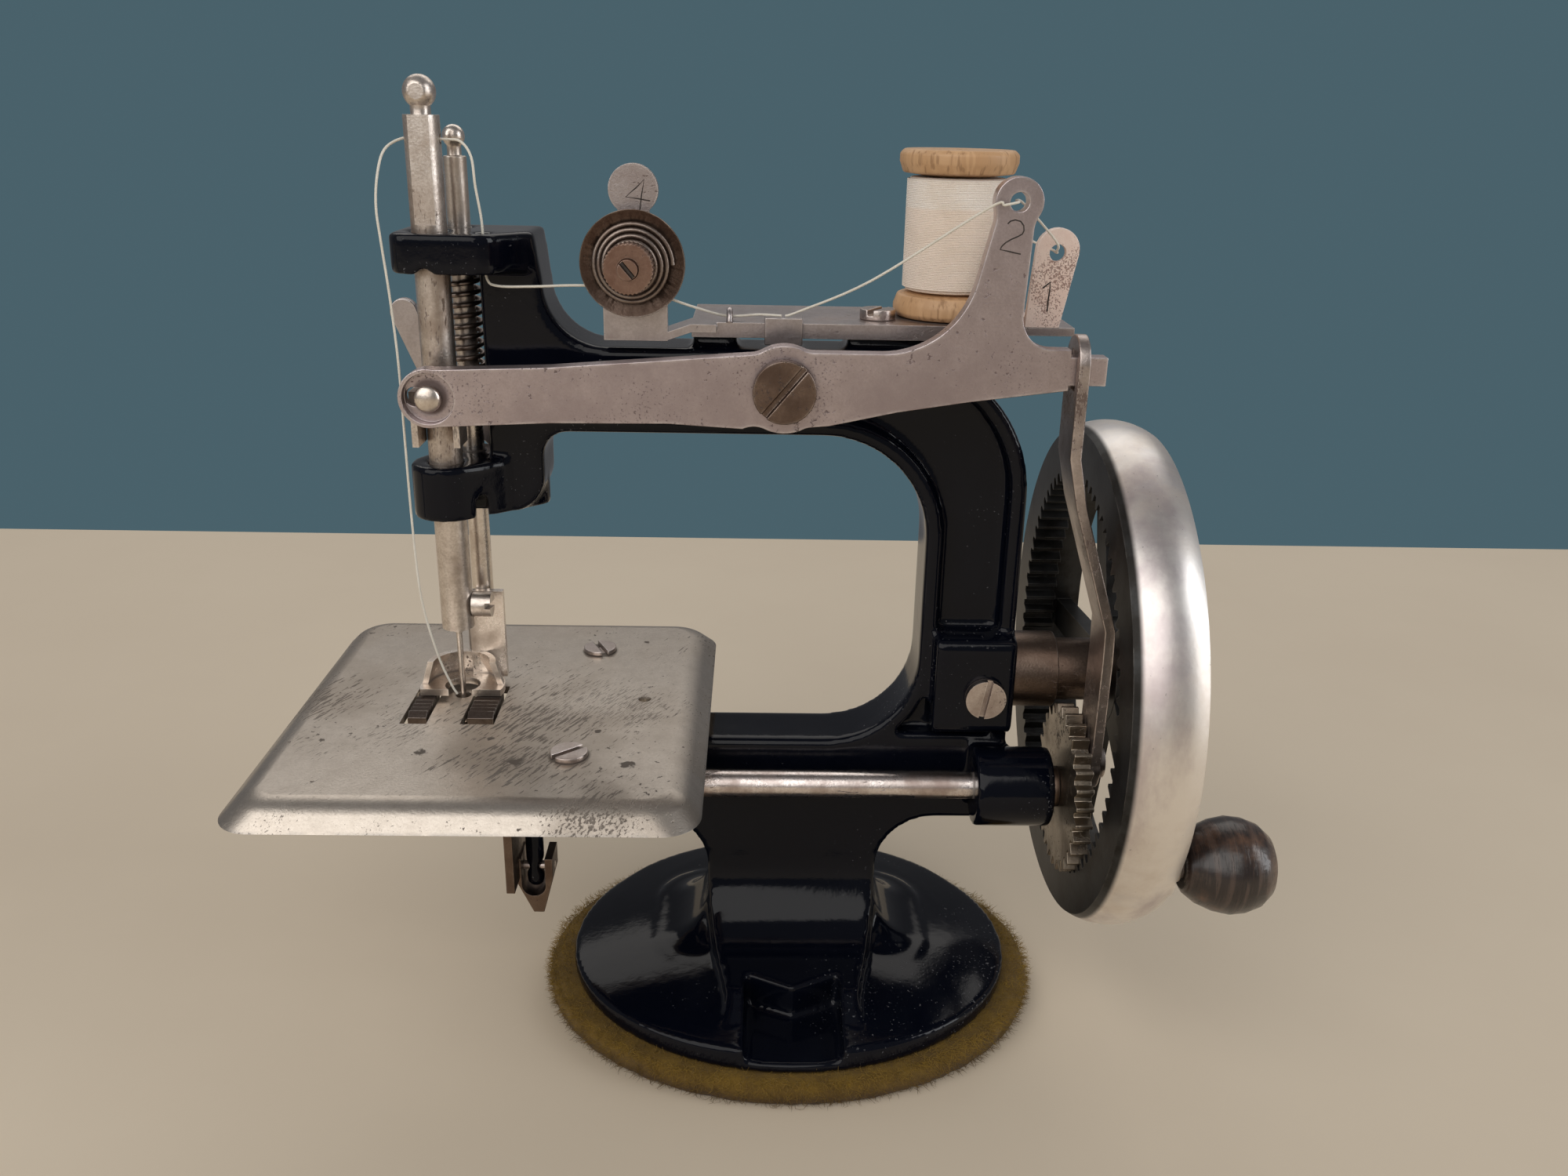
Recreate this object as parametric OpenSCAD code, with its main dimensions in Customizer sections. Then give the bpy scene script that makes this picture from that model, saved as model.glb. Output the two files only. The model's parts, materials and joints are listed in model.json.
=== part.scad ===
// Toy hand-crank sewing machine: a small cast-iron chain-stitch machine with an open rocking lever.
// X runs from the needle to the handwheel, Y to the back and Z up.
// The origin is the middle of the felt pad's underside.

/* [Foot] */
// Width of the cast foot
foot_w = 82; // [70:1:90]
// Depth of the cast foot
foot_d = 69; // [60:1:80]
// Height of the foot at the long ends of its oval
foot_edge_h = 3; // [2:0.5:5]
// Radius of the foot's domed top
foot_dome_r = 190; // [150:10:240]
// Width of the felt pad
felt_w = 91; // [84:1:100]
// Depth of the felt pad
felt_d = 73; // [70:1:86]
// Thickness of the felt pad
felt_t = 5; // [3:0.5:8]
// Width of the clamp channel in the front of the foot
channel_w = 17; // [12:1:22]
// Distance from the middle of the foot to the back of the clamp channel
channel_y = 22; // [18:1:27]

/* [Frame] */
// Distance of the frame's middle plane behind the middle of the foot
web_y = 3; // [0:0.5:6]
// Depth of the frame at its rims
frame_t = 12; // [10:0.5:14]
// Thickness of the web between the rims
web_t = 5; // [3:0.5:8]
// Width of the rim round the web
rim_w = 2.8; // [2:0.2:4]
// Width of the pedestal above the foot
pedestal_w = 31; // [26:1:36]
// Height of the lower arm's underside
lower_z = 36.5; // [32:0.5:38]
// Height of the lower arm
lower_h = 15.5; // [13:0.5:17]
// Height of the open throat
throat_h = 55.6; // [50:0.2:60]
// Right side of the throat
throat_right_x = 21.5; // [18:0.5:24]
// Width of the throat from the head to the pillar
throat_w = 64; // [62:0.5:65]
// Width of the pillar
pillar_w = 16.5; // [14:0.5:18]
// Height of the upper arm
arm_h = 13.9; // [12:0.1:16]
// Height of the head above the upper arm
head_rise = 17.8; // [15:0.1:20]
// Depth of the head below the upper arm
head_drop = 13.6; // [11:0.1:15]
// Width of the head's column
head_w = 8.8; // [7:0.2:9.4]
// Height of the upper lug
lug_top_h = 6; // [5:0.2:7]
// Height of the lower lug
lug_low_h = 9; // [7:0.2:10]
// Wall of the lugs round the bars
lug_wall = 2.9; // [2:0.1:3.2]

/* [Cloth plate] */
// Width of the cloth plate
plate_w = 72; // [66:1:76]
// Depth of the cloth plate
plate_d = 78; // [72:1:84]
// Thickness of the cloth plate
plate_t = 1.4; // [1:0.1:1.8]
// Height of the plate's top above the lower arm
plate_rise = 9; // [8:0.2:11]
// Width of the plate's sloping rim
plate_bevel_w = 3.4; // [2:0.2:6]
// Drop of the plate's sloping rim
plate_bevel_h = 3.6; // [2:0.2:5]
// Corner radius of the plate
plate_corner_r = 6; // [3:0.5:10]

/* [Bars] */
// Distance of the needle bar to the left of the head's column
needle_reach = 6.7; // [6.4:0.1:7]
// Place of the needle bar across the machine
needle_y = -4.4; // [-5:0.1:-4]
// Radius of the needle bar
bar_r = 2.7; // [2.2:0.1:2.9]
// Length of the needle bar without its ball
bar_l = 82; // [76:1:84]
// Height of the needle bar's lower end
bar_z = 74; // [72:0.5:76]
// Radius of the needle bar's ball
ball_r = 2.45; // [2:0.05:3]
// Distance of the presser bar to the right of the needle bar
presser_dx = 2.8; // [2.4:0.1:3.2]
// Place of the presser bar across the machine
presser_y = 3.6; // [3:0.1:5]
// Radius of the presser bar
presser_r = 1.8; // [1.4:0.1:2]
// Height of the presser bar's top
presser_top_z = 150; // [146:0.5:154]
// Wire radius of the presser spring
spring_wire_r = 0.4; // [0.3:0.05:0.45]
// Curls of the presser spring
spring_curls = 12; // [8:1:13]

/* [Lever] */
// Place of the lever's pivot along the machine
pivot_x = -3.3; // [-6:0.1:0]
// Height of the lever's pivot
pivot_z = 117.3; // [116:0.1:118.5]
// Reach from the pivot to the needle bar's stud
eye_drop = 2.2; // [1.5:0.1:3]
// Reach from the pivot to the connecting rod
rod_reach = 45.5; // [45:0.1:46]
// Thickness of the lever
lever_t = 3; // [2.4:0.1:3.2]
// Radius of the lever's pivot boss
lever_boss_r = 6.8; // [6:0.1:7.4]
// Reach of the take-up arm to the right of the pivot
take_up_x = 34; // [32:0.5:35]
// Height of the take-up eye above the pivot
take_up_z = 28.4; // [26:0.2:30]
// Radius of the lever screw's head
lever_screw_r = 4.9; // [4:0.1:5.4]

/* [Drive] */
// Height of the handwheel's axis
wheel_z = 64; // [63:0.5:66]
// Radius of the handwheel's rim
wheel_r = 44.8; // [43:0.2:46]
// Width of the handwheel's rim
wheel_t = 11.5; // [10:0.5:13]
// Gap from the pillar to the handwheel's toothed face
wheel_gap = 10.5; // [10:0.1:11.5]
// Number of the handwheel's spokes
spokes = 5; // [3:1:7]
// Radius of the handwheel's stud beside the pillar
stud_r = 6.8; // [6:0.1:7]
// Radius of the stud's journal inside the handwheel
journal_r = 5.6; // [4.6:0.1:5.9]
// Place of the lower shaft across the machine
shaft_y = -8; // [-8.4:0.1:-7.6]
// Height of the lower shaft
shaft_z = 46; // [45:0.1:46.4]
// Radius of the lower shaft
shaft_r = 2.35; // [1.8:0.05:2.6]
// Teeth inside the handwheel
ring_teeth = 75; // [70:5:80]
// Teeth of the pinion
pinion_teeth = 30; // [26:2:32]
// Width of the pinion
pinion_w = 3; // [2.6:0.1:3.4]
// Throw of the crank
crank_throw = 7.6; // [7:0.1:8]
// Width of the connecting rod
rod_w = 9; // [8:0.2:9.6]
// Thickness of the connecting rod
rod_t = 1.8; // [1.4:0.1:2]
// Length of the wooden knob
knob_l = 14.6; // [13:0.2:18]
// Radius of the wooden knob
knob_r = 7.9; // [7:0.1:9]
// Distance of the knob from the handwheel's axis
knob_reach = 38.6; // [37:0.2:40]
// Angle of the knob round the handwheel at rest
knob_turn = 211; // [180:1:240]

/* [Thread] */
// Radius of the reel's flanges
reel_r = 9.5; // [9:0.1:9.9]
// Height of the reel
reel_h = 26.2; // [22:0.2:30]
// Radius of the wound thread
wound_r = 8.2; // [6:0.1:8.4]
// Loops of the outer layer of thread
wound_loops = 20; // [12:1:22]
// Place of the reel along the machine
reel_x = 24.4; // [23.8:0.1:25]
// Place of the reel across the machine
reel_y = 7; // [5:0.5:8]
// Radius of the front tension disc
disc_r = 8; // [7:0.1:8.2]
// Height of the tension stud above the thread plate
tension_rise = 9.4; // [9:0.1:11]
// Place of the tension stud along the machine
tension_x = -26.6; // [-28:0.1:-25]
// Thickness of the thread plate
sheet_t = 1.3; // [1:0.1:1.6]
// Radius of the thread
thread_r = 0.2; // [0.15:0.01:0.25]

/* [Hidden] */
$fn = 64;

// Clearances and shared small sizes
run_gap = 0.05;
side_gap = 0.3;
over = 1;
arc_steps = 16;
oval_steps = 96;
slot_w = 1;
slot_d = 0.9;

// Heights and edges of the frame
lower_top_z = lower_z + lower_h;
arm_z = lower_top_z + throat_h;
arm_top_z = arm_z + arm_h;
head_top_z = arm_top_z + head_rise;
head_z = arm_z - head_drop;
head_right_x = throat_right_x - throat_w;
head_x = head_right_x - head_w;
pillar_x = throat_right_x + pillar_w;
frame_front_y = web_y - frame_t / 2;
frame_back_y = web_y + frame_t / 2;
needle_x = head_x - needle_reach;
presser_x = needle_x + presser_dx;
lower_left_reach = 10;
lower_left_x = needle_x + lower_left_reach;
foot_z = felt_t;
foot_top_z = foot_z + foot_edge_h;
shoulder_r = 24;
throat_top_r = 18;
throat_low_r = 16;
head_fillet_r = 10;
head_fillet_set = 1;
chin_r = 6;
neck_r = 4;
pedestal_fillet_r = 11;

// The lugs that carry the two bars
lug_front_y = needle_y - bar_r - lug_wall;
lug_round = 3.5;
lug_hole_reach = 8.5;
lug_hole_y = -6;
lug_hole_r = 0.9;
lug_top_z = head_top_z - lug_top_h;
// The needle's travel, for which the lugs leave room
needle_travel = 17.5;

// The lever swings in a plane just in front of the lugs
lever_gap = 0.4;
lever_back_y = lug_front_y - lever_gap;
lever_front_y = lever_back_y - lever_t;
pivot_boss_r = 5.2;
pivot_shank_r = 2.6;
lever_head_t = 2.2;
eye_r = 4.6;
eye_recess_r = 3.95;
eye_recess_d = 1.5;
stud_shank_r = 1.2;
stud_head_r = 1.8;
eye_slip = 2.3;
eye_slack = 0.3;
take_up_end_r = 3.6;
take_up_neck_w = 5.2;
take_up_hole_r = 1.4;
lever_fillet = 4;
eye_z = pivot_z - eye_drop;

// The gear train
stud_y = web_y;
wheel_x = pillar_x + wheel_gap;
mesh_offset = [shaft_y - stud_y, shaft_z - wheel_z];
mesh_turn = atan2(mesh_offset[1], mesh_offset[0]);
gear_module = 2 * norm(mesh_offset) / (ring_teeth - pinion_teeth);
ring_pitch_r = gear_module * ring_teeth / 2;
pinion_pitch_r = gear_module * pinion_teeth / 2;
addendum_share = 0.8;
dedendum_share = 1.1;
backlash = 0.3;
flank = 20;
ring_w = 6;
tooth_half = PI * gear_module / 4;
add = addendum_share * gear_module;
ded = dedendum_share * gear_module;
pinion_lead = 2;
pinion_x = wheel_x - pinion_lead;
rod_gap = 0.5;
rod_x = pinion_x + pinion_w + rod_gap;
hub_share = 0.6;
hub_x = wheel_x + wheel_t * hub_share;
ring_wall = 0.8;
rim_in_r = ring_pitch_r + ded + ring_wall;
hub_r = 10;
rim_crown = 1.7;
wheel_right_x = wheel_x + wheel_t;
stud_boss_h = 18;
stud_boss_w = 14;
stud_boss_d = 9.5;
stud_boss_round = 2;
bush_r = 7;
bush_reach = 17;
bush_x = wheel_x - bush_reach;
bush_l = 13.5;
bush_left_r = 6;
bush_left_l = 8;

// The connecting rod hangs from the lever's tongue to the crank
rod_set = 0.8;
rod_y = (lever_back_y + lever_front_y) / 2 + rod_set;
crank_y = rod_y;
crank_z = shaft_z + sqrt(crank_throw * crank_throw - (rod_y - shaft_y) * (rod_y - shaft_y));
rod_end_r = 4.7;
rod_top_x = pivot_x + rod_reach;
rod_rise = 9;
rod_top_z = pivot_z + rod_rise;
tongue_h = 4.4;
tongue_rise = 3.6;
tongue_z = pivot_z + tongue_rise;
tongue_l = 4;
crank_screw_r = 3;

// The cloth plate
plate_z = lower_top_z + plate_rise;
plate_reach = 43;
plate_right_x = needle_x + plate_reach;
plate_front_reach = 40.6;
plate_front_y = needle_y - plate_front_reach;
plate_mid = [plate_right_x - plate_w / 2, plate_front_y + plate_d / 2];
plate_top_share = [1 - 2 * plate_bevel_w / plate_w, 1 - 2 * plate_bevel_w / plate_d];
plate_screw_reach = 21.4;
plate_screw_x = needle_x + plate_screw_reach;
plate_screw_ys = [-26.5, 15.8];
plate_screw_r = 3;
plate_screw_h = 0.9;
plate_shank_r = 1.5;
plate_shank_l = 6;
bar_cross_w = 8;
bar_cross_end = 4.5;
feed_slot_l = 15;
feed_slot_reach = 11.4;
feed_slot_front_y = needle_y - feed_slot_reach;
feed_slot_sets = [-8.2, 1.8];
feed_slot_xs = [for (s = feed_slot_sets) needle_x + s];
feed_slot_ws = [4.4, 5.6];
needle_hole_r = 1.3;

// The thread plate and the tension
post_h = 3.2;
post_top_z = arm_top_z + post_h;
sheet_z = post_top_z;
sheet_top_z = sheet_z + sheet_t;
sheet_x = -18;
sheet_right_x = 43;
sheet_reach = 6.5;
sheet_front_y = web_y - sheet_reach;
sheet_d = 20;
lip_h = 1.1;
upright_set = 4.4;
upright_front_y = lever_back_y + upright_set;
tension_z = sheet_top_z + tension_rise;
tension_foot_drop = 1.4;
tension_foot_z = sheet_z - tension_foot_drop;
disc_t = 0.7;
back_disc_r = 6.4;
thread_way = 0.8;
back_disc_y = upright_front_y;
front_disc_y = back_disc_y - disc_t - thread_way;
disc_dish = 1.4;
tension_stud_r = 1.5;
spring_room = 5.8;
nut_y = front_disc_y - spring_room;
nut_r = 3.8;
nut_t = 3.2;
tab_r = 3.8;
tab_rise = 20;
tab_z = sheet_top_z + tab_rise;

// The reel stands on the thread plate
reel_lift = 0.2;
reel_z = sheet_top_z + reel_lift;
reel_pin_r = 1.6;
reel_flange_h = 4.2;
reel_bore_r = reel_pin_r + run_gap;
wound_r_wire = 0.22;
wound_z = reel_z + reel_flange_h;
wound_h = reel_h - 2 * reel_flange_h;
barrel_share = 0.55;
barrel_r = wound_r * barrel_share;

// The presser
collar_r = 3;
collar_h = 3;
spring_r = 2.55;
lifter_set = [4.5, 4];
lifter_pivot = [head_right_x - lifter_set[0], head_z + lifter_set[1]];
lifter_pin_rise = 12.3;
lifter_turn = 135.2;
lifter_lean = 110;
lifter_arm_l = 22;
lifter_leaf_l = 12;
lifter_w = 3.6;
lifter_eye_r = 3.2;
lifter_t = 1.6;
lifter_leaf_w = 4.6;
lifter_pin_r = 1;
collar_z = lifter_pivot[1] + lifter_pin_rise - collar_h / 2;
lifter_back_y = frame_back_y + side_gap;
presser_rise = 5;
presser_z = plate_z + presser_rise;
sole_gap = 0.8;
sole_z = plate_z + sole_gap;
sole_t = 1.2;

// The lower mechanism
feed_pivot_drop = 7.5;
feed_pivot = [shaft_y, lower_z - feed_pivot_drop];
feed_rock_drop = 4;
feed_rock_z = plate_z - feed_rock_drop;
finger_r = 1.7;
finger_reach = 11.6;
finger_x = needle_x + finger_reach;
finger_drop = 2.5;
feed_reach = 7.7;
feed_x = needle_x + feed_reach;
feed_t = 1.5;
cam_r = 4;
cam_throw = 0.8;
looper_r = 8.4;
looper_set = 1;
looper_x = needle_x + looper_set;
looper_t = 1.6;

// Helper functions
function arc(c, r, from, to) = [for (i = [0:arc_steps])
    let (a = from + (to - from) * i / arc_steps) c + r * [cos(a), sin(a)]];
function oval(w, d) =
    [for (i = [0:oval_steps - 1]) [w / 2 * cos(360 * i / oval_steps), d / 2 * sin(360 * i / oval_steps)]];
function degrees_of(width, r) = width / r * 180 / PI;
function gear_outline(n, r_in, half_in, r_out, half_out) = [for (i = [0:n - 1]) for (c = [
        [r_in, -degrees_of(half_in, r_in)], [r_out, -degrees_of(half_out, r_out)],
        [r_out, degrees_of(half_out, r_out)], [r_in, degrees_of(half_in, r_in)]])
    c[0] * [cos(360 * i / n + c[1]), sin(360 * i / n + c[1])]];
function unit(v) = v / norm(v);

// A shape drawn in X and Z, given depth from y towards the back
module along_y(y, depth) {
    translate([0, y + depth, 0]) rotate([90, 0, 0]) linear_extrude(depth) children();
}

// A shape drawn in Y and Z, given length from x to the right
module along_x(x, length) {
    translate([x, 0, 0]) rotate([90, 0, 90]) linear_extrude(length) children();
}

// A round bar along Y, from y towards the back
module bar_y(x, y, z, r, l) {
    translate([x, y + l, z]) rotate([90, 0, 0]) cylinder(r = r, h = l);
}

// A round bar along X, from x to the right
module bar_x(x, y, z, r, l) {
    translate([x, y, z]) rotate([0, 90, 0]) cylinder(r = r, h = l);
}

// A slotted head along Z that stands on the ground, with its shank below
module slotted_screw(head_r, head_h, shank_r, shank_l, turn) {
    difference() {
        cylinder(r = head_r, h = head_h);
        rotate(turn) translate([-head_r - over, -slot_w / 2, head_h - slot_d])
            cube([2 * (head_r + over), slot_w, slot_d + over]);
    }
    translate([0, 0, -shank_l]) cylinder(r = shank_r, h = shank_l);
}

// A tube swept through a list of points, with its rings turned about a steady direction
module tube(points, r, sides, steady) {
    n = len(points);
    along = [for (i = [0:n - 1]) unit(points[min(i + 1, n - 1)] - points[max(i - 1, 0)])];
    us = [for (t = along) unit(cross(t, steady))];
    rings = [for (i = [0:n - 1]) for (j = [0:sides - 1])
        points[i] + r * (cos(360 * j / sides) * us[i] + sin(360 * j / sides) * cross(along[i], us[i]))];
    walls = [for (i = [0:n - 2]) for (j = [0:sides - 1]) for (half = [0, 1])
        let (a = i * sides + j, b = i * sides + (j + 1) % sides)
        half == 0 ? [a, b + sides, b] : [a, a + sides, b + sides]];
    start = [for (j = [1:sides - 2]) [0, j, j + 1]];
    finish = [for (j = [1:sides - 2]) [(n - 1) * sides, (n - 1) * sides + j + 1, (n - 1) * sides + j]];
    polyhedron(points = rings, faces = concat(walls, start, finish));
}

// Points of a coil about Z that goes from radius r0 to r1 over a height, with straight ends
function coil(r0, r1, h, curls, rings, lead) = let (
    n = curls * rings,
    bare = [for (i = [0:n]) let (s = i / n, a = 360 * curls * s, r = r0 + (r1 - r0) * s)
        [r * cos(a), r * sin(a), h * s]],
    first = unit(bare[0] - bare[1]),
    last = unit(bare[n] - bare[n - 1]))
    concat([bare[0] + lead * first], bare, [bare[n] + lead * last]);
function coil_gap(points, rings, r) = min([for (i = [0:len(points) - rings - 3]) for (k = [-2:2])
    norm(points[i] - points[min(i + rings + k, len(points) - 1)])]) - 2 * r;

// Frame casting

frame_outline = concat(
    [[head_x, head_top_z], [head_right_x, head_top_z]],
    arc([head_right_x + head_fillet_r + head_fillet_set, arm_top_z + head_fillet_r], head_fillet_r, 180, 270),
    arc([pillar_x - shoulder_r, arm_top_z - shoulder_r], shoulder_r, 90, 0),
    [[pillar_x, lower_z]],
    arc([pedestal_w / 2 + pedestal_fillet_r, lower_z - pedestal_fillet_r], pedestal_fillet_r, 90, 180),
    [[pedestal_w / 2, foot_z + foot_edge_h / 2], [-pedestal_w / 2, foot_z + foot_edge_h / 2]],
    arc([-pedestal_w / 2 - pedestal_fillet_r, lower_z - pedestal_fillet_r], pedestal_fillet_r, 0, 90),
    [[lower_left_x, lower_z], [lower_left_x, lower_top_z]],
    arc([throat_right_x - throat_low_r, lower_top_z + throat_low_r], throat_low_r, 270, 360),
    arc([throat_right_x - throat_top_r, arm_z - throat_top_r], throat_top_r, 0, 90),
    arc([head_right_x + neck_r, arm_z - neck_r], neck_r, 90, 180),
    arc([head_right_x - chin_r, head_z + chin_r], chin_r, 0, -90),
    [[head_x, head_z]]);

// Recess between the rims, in the upper arm and the pillar
module recess_2d() {
    intersection() {
        offset(delta = -rim_w) polygon(frame_outline);
        translate([head_right_x + head_fillet_r, lower_top_z + rim_w / 2])
            square([pillar_x - head_right_x, arm_top_z - lower_top_z]);
    }
}

module foot_casting() {
    intersection() {
        translate([0, 0, foot_z]) linear_extrude(foot_dome_r) polygon(oval(foot_w, foot_d));
        translate([0, 0, foot_top_z - sqrt(foot_dome_r * foot_dome_r - foot_w * foot_w / 4)])
            sphere(r = foot_dome_r, $fn = 128);
    }
}

channel_point = 4;
channel_z = foot_top_z - foot_edge_h / 3;
module clamp_channel() {
    translate([0, 0, channel_z]) linear_extrude(lower_z - channel_z)
        polygon([[-channel_w / 2, -foot_d], [channel_w / 2, -foot_d],
            [channel_w / 2, -channel_y + channel_point], [0, -channel_y],
            [-channel_w / 2, -channel_y + channel_point]]);
}

// The pedestal spreads into a skirt that runs out to the front in two ribs
skirt_r = 14;
skirt_z = 13.5;
skirt_back_r = 9;
rib_w = 3.2;
rib_reach = 11;
flare_r = 10;
flare_z = 11;
skirt_front_w = channel_w + 2 * rib_w;
module pedestal_root() {
    front = frame_front_y - skirt_r;
    intersection() {
        along_x(-foot_w / 2, foot_w) polygon(concat(
            [[frame_back_y + skirt_back_r, foot_z + foot_edge_h / 2]],
            arc([frame_back_y + skirt_back_r, foot_top_z + skirt_back_r], skirt_back_r, 270, 180),
            arc([front, skirt_z + skirt_r], skirt_r, 0, -90),
            [[-channel_y, skirt_z - foot_edge_h / 6], [-channel_y - rib_reach, foot_top_z],
                [-channel_y - rib_reach, foot_z + foot_edge_h / 2]]));
        translate([0, 0, foot_z]) linear_extrude(lower_z) polygon([
            [-pedestal_w / 2, foot_d], [-pedestal_w / 2, frame_front_y],
            [-skirt_front_w / 2, -channel_y], [-skirt_front_w / 2, -foot_d],
            [skirt_front_w / 2, -foot_d], [skirt_front_w / 2, -channel_y],
            [pedestal_w / 2, frame_front_y], [pedestal_w / 2, foot_d]]);
    }
    along_y(frame_front_y, frame_t) polygon(concat(
        arc([pedestal_w / 2 + flare_r, flare_z + flare_r], flare_r, 270, 180),
        arc([-pedestal_w / 2 - flare_r, flare_z + flare_r], flare_r, 0, -90),
        [[-pedestal_w / 2 - flare_r, foot_top_z], [pedestal_w / 2 + flare_r, foot_top_z]]));
    for (side = [-1, 1])
        for (y = [frame_front_y, frame_back_y])
            translate([side * pedestal_w / 2, y, 0]) rotate_extrude() polygon(concat(
                [[0, foot_top_z], [flare_r, foot_top_z]],
                arc([flare_r, flare_z + flare_r], flare_r, 270, 180)));
}

module lug_2d() {
    offset(r = lug_round) offset(delta = -lug_round) polygon([
        [head_right_x, frame_back_y], [head_right_x, frame_front_y],
        [needle_x + bar_r + lug_wall + lug_round, lug_front_y],
        [needle_x - bar_r - lug_wall, lug_front_y],
        [needle_x - bar_r - lug_wall, frame_back_y]]);
}

module low_lug_2d() {
    hull() {
        translate([needle_x, needle_y]) circle(r = bar_r + lug_wall, $fn = 32);
        translate([presser_x, presser_y]) circle(r = presser_r + lug_wall, $fn = 32);
        translate([head_right_x - lug_wall, web_y]) circle(r = lug_wall, $fn = 32);
    }
}

post_w = 7;
post_x = -14.4;
block_x = 7;
block_w = 20;
post_d = 8;
module posts() {
    for (p = [[post_x - post_w / 2, post_w], [block_x, block_w]])
        translate([p[0], web_y - post_d / 2, arm_top_z - rim_w])
            cube([p[1], post_d, post_top_z - arm_top_z + rim_w]);
}

module shaft_bushes() {
    bar_x(bush_x, shaft_y, shaft_z, bush_r, bush_l);
    bar_x(lower_left_x, shaft_y, shaft_z, bush_left_r, bush_left_l);
}

finger_l = 16;
module feed_finger() {
    translate([finger_x, shaft_y, feed_pivot[1] - finger_drop]) {
        cylinder(r = finger_r, h = finger_l);
        sphere(r = finger_r);
    }
}

module plate_bearer() {
    translate([plate_screw_x - bar_cross_w / 2, plate_screw_ys[0] - bar_cross_end, lower_top_z - rim_w])
        cube([bar_cross_w, plate_screw_ys[1] - plate_screw_ys[0] + 2 * bar_cross_end,
            plate_rise - plate_t + rim_w]);
}

module stud_boss() {
    along_x(pillar_x - stud_boss_w, stud_boss_w) translate([stud_y, wheel_z]) offset(r = stud_boss_round)
        square([2 * (stud_boss_d - stud_boss_round), stud_boss_h - 2 * stud_boss_round], center = true);
}

module frame() {
    notch_h = needle_screw_z + needle_screw_r + needle_travel + side_gap - head_z;
    color("#15171d") difference() {
        union() {
            difference() {
                union() {
                    foot_casting();
                    pedestal_root();
                }
                clamp_channel();
            }
            difference() {
                along_y(frame_front_y, frame_t) polygon(frame_outline);
                along_y(frame_front_y - over, (frame_t - web_t) / 2 + over) recess_2d();
                along_y(web_y + web_t / 2, (frame_t - web_t) / 2 + over) recess_2d();
            }
            bar_y(pivot_x, lever_back_y + side_gap, pivot_z, pivot_boss_r, web_y - lever_back_y - side_gap);
            stud_boss();
            posts();
            shaft_bushes();
            feed_finger();
            plate_bearer();
            translate([0, 0, lug_top_z]) linear_extrude(lug_top_h) lug_2d();
            translate([0, 0, head_z]) linear_extrude(lug_low_h) low_lug_2d();
        }
        translate([needle_x, needle_y, head_z - over])
            cylinder(r = bar_r + run_gap, h = head_top_z - head_z + 2 * over);
        translate([presser_x, presser_y, head_z - over])
            cylinder(r = presser_r + run_gap, h = head_top_z - head_z + 2 * over);
        translate([needle_x, needle_y - needle_screw_r - side_gap, head_z - over])
            cube([bar_r + needle_screw_h + 2 * side_gap, 2 * (needle_screw_r + side_gap),
                notch_h + over]);
        bar_y(needle_x, lug_front_y - over, eye_z + needle_travel, stud_shank_r + side_gap, lug_wall + bar_r);
        translate([needle_x + lug_hole_reach, lug_hole_y, lug_top_z - over])
            cylinder(r = lug_hole_r, h = lug_top_h + 2 * over);
        bar_y(pivot_x, lever_back_y - over, pivot_z, pivot_shank_r + run_gap, web_y - lever_back_y + over);
        bar_x(pillar_x - stud_boss_w + over, stud_y, wheel_z, stud_r + run_gap, stud_boss_w);
        bar_x(bush_x - over, shaft_y, shaft_z, shaft_r + run_gap, bush_l + 2 * over);
        bar_x(lower_left_x - over, shaft_y, shaft_z, shaft_r + run_gap, bush_left_l + 2 * over);
        bar_y(set_screw[0], frame_front_y - stud_boss_d, set_screw[1],
            set_shank_r + run_gap, stud_boss_d + frame_t / 2);
        for (y = plate_screw_ys)
            translate([plate_screw_x, y, plate_z - plate_shank_l - over])
                cylinder(r = plate_shank_r + run_gap, h = plate_shank_l);
        translate([block_screw_x, web_y, post_top_z - block_shank_l - over])
            cylinder(r = block_shank_r + run_gap, h = block_shank_l + 2 * over);
        translate([reel_x, reel_y, post_top_z - reel_pin_seat])
            cylinder(r = reel_pin_r + run_gap, h = reel_pin_seat + over);
        bar_y(lifter_pivot[0], frame_back_y - lifter_shank_l, lifter_pivot[1],
            lifter_shank_r + run_gap, lifter_shank_l + over);
        bar_x(finger_x - finger_r - over, feed_pivot[0], feed_pivot[1],
            feed_pin_r + run_gap, 2 * (finger_r + over));
    }
}

module felt_pad() {
    color("#b0892c") linear_extrude(felt_t) polygon(oval(felt_w, felt_d));
}

// Cloth plate

module plate_2d(inset) {
    offset(r = plate_corner_r - inset)
        square([plate_w - 2 * plate_corner_r, plate_d - 2 * plate_corner_r], center = true);
}

small_hole = [-26.4, -5.4];
small_hole_r = 1.1;
module plate_form(z, inset) {
    translate([plate_mid[0], plate_mid[1], z])
        linear_extrude(plate_bevel_h, scale = plate_top_share, slices = 1) plate_2d(inset);
}

module cloth_plate() {
    low_z = plate_z - plate_bevel_h;
    cut_h = plate_bevel_h + over;
    color("#b9b2ae") difference() {
        plate_form(low_z, 0);
        plate_form(low_z - plate_t, plate_t / 4);
        for (i = [0, 1])
            translate([feed_slot_xs[i], feed_slot_front_y, low_z])
                cube([feed_slot_ws[i], feed_slot_l, cut_h]);
        translate([needle_x, needle_y, low_z]) cylinder(r = needle_hole_r, h = cut_h);
        translate([small_hole[0], small_hole[1], low_z]) cylinder(r = small_hole_r, h = cut_h);
        for (y = plate_screw_ys)
            translate([plate_screw_x, y, low_z]) cylinder(r = plate_shank_r + run_gap, h = cut_h);
    }
}

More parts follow.
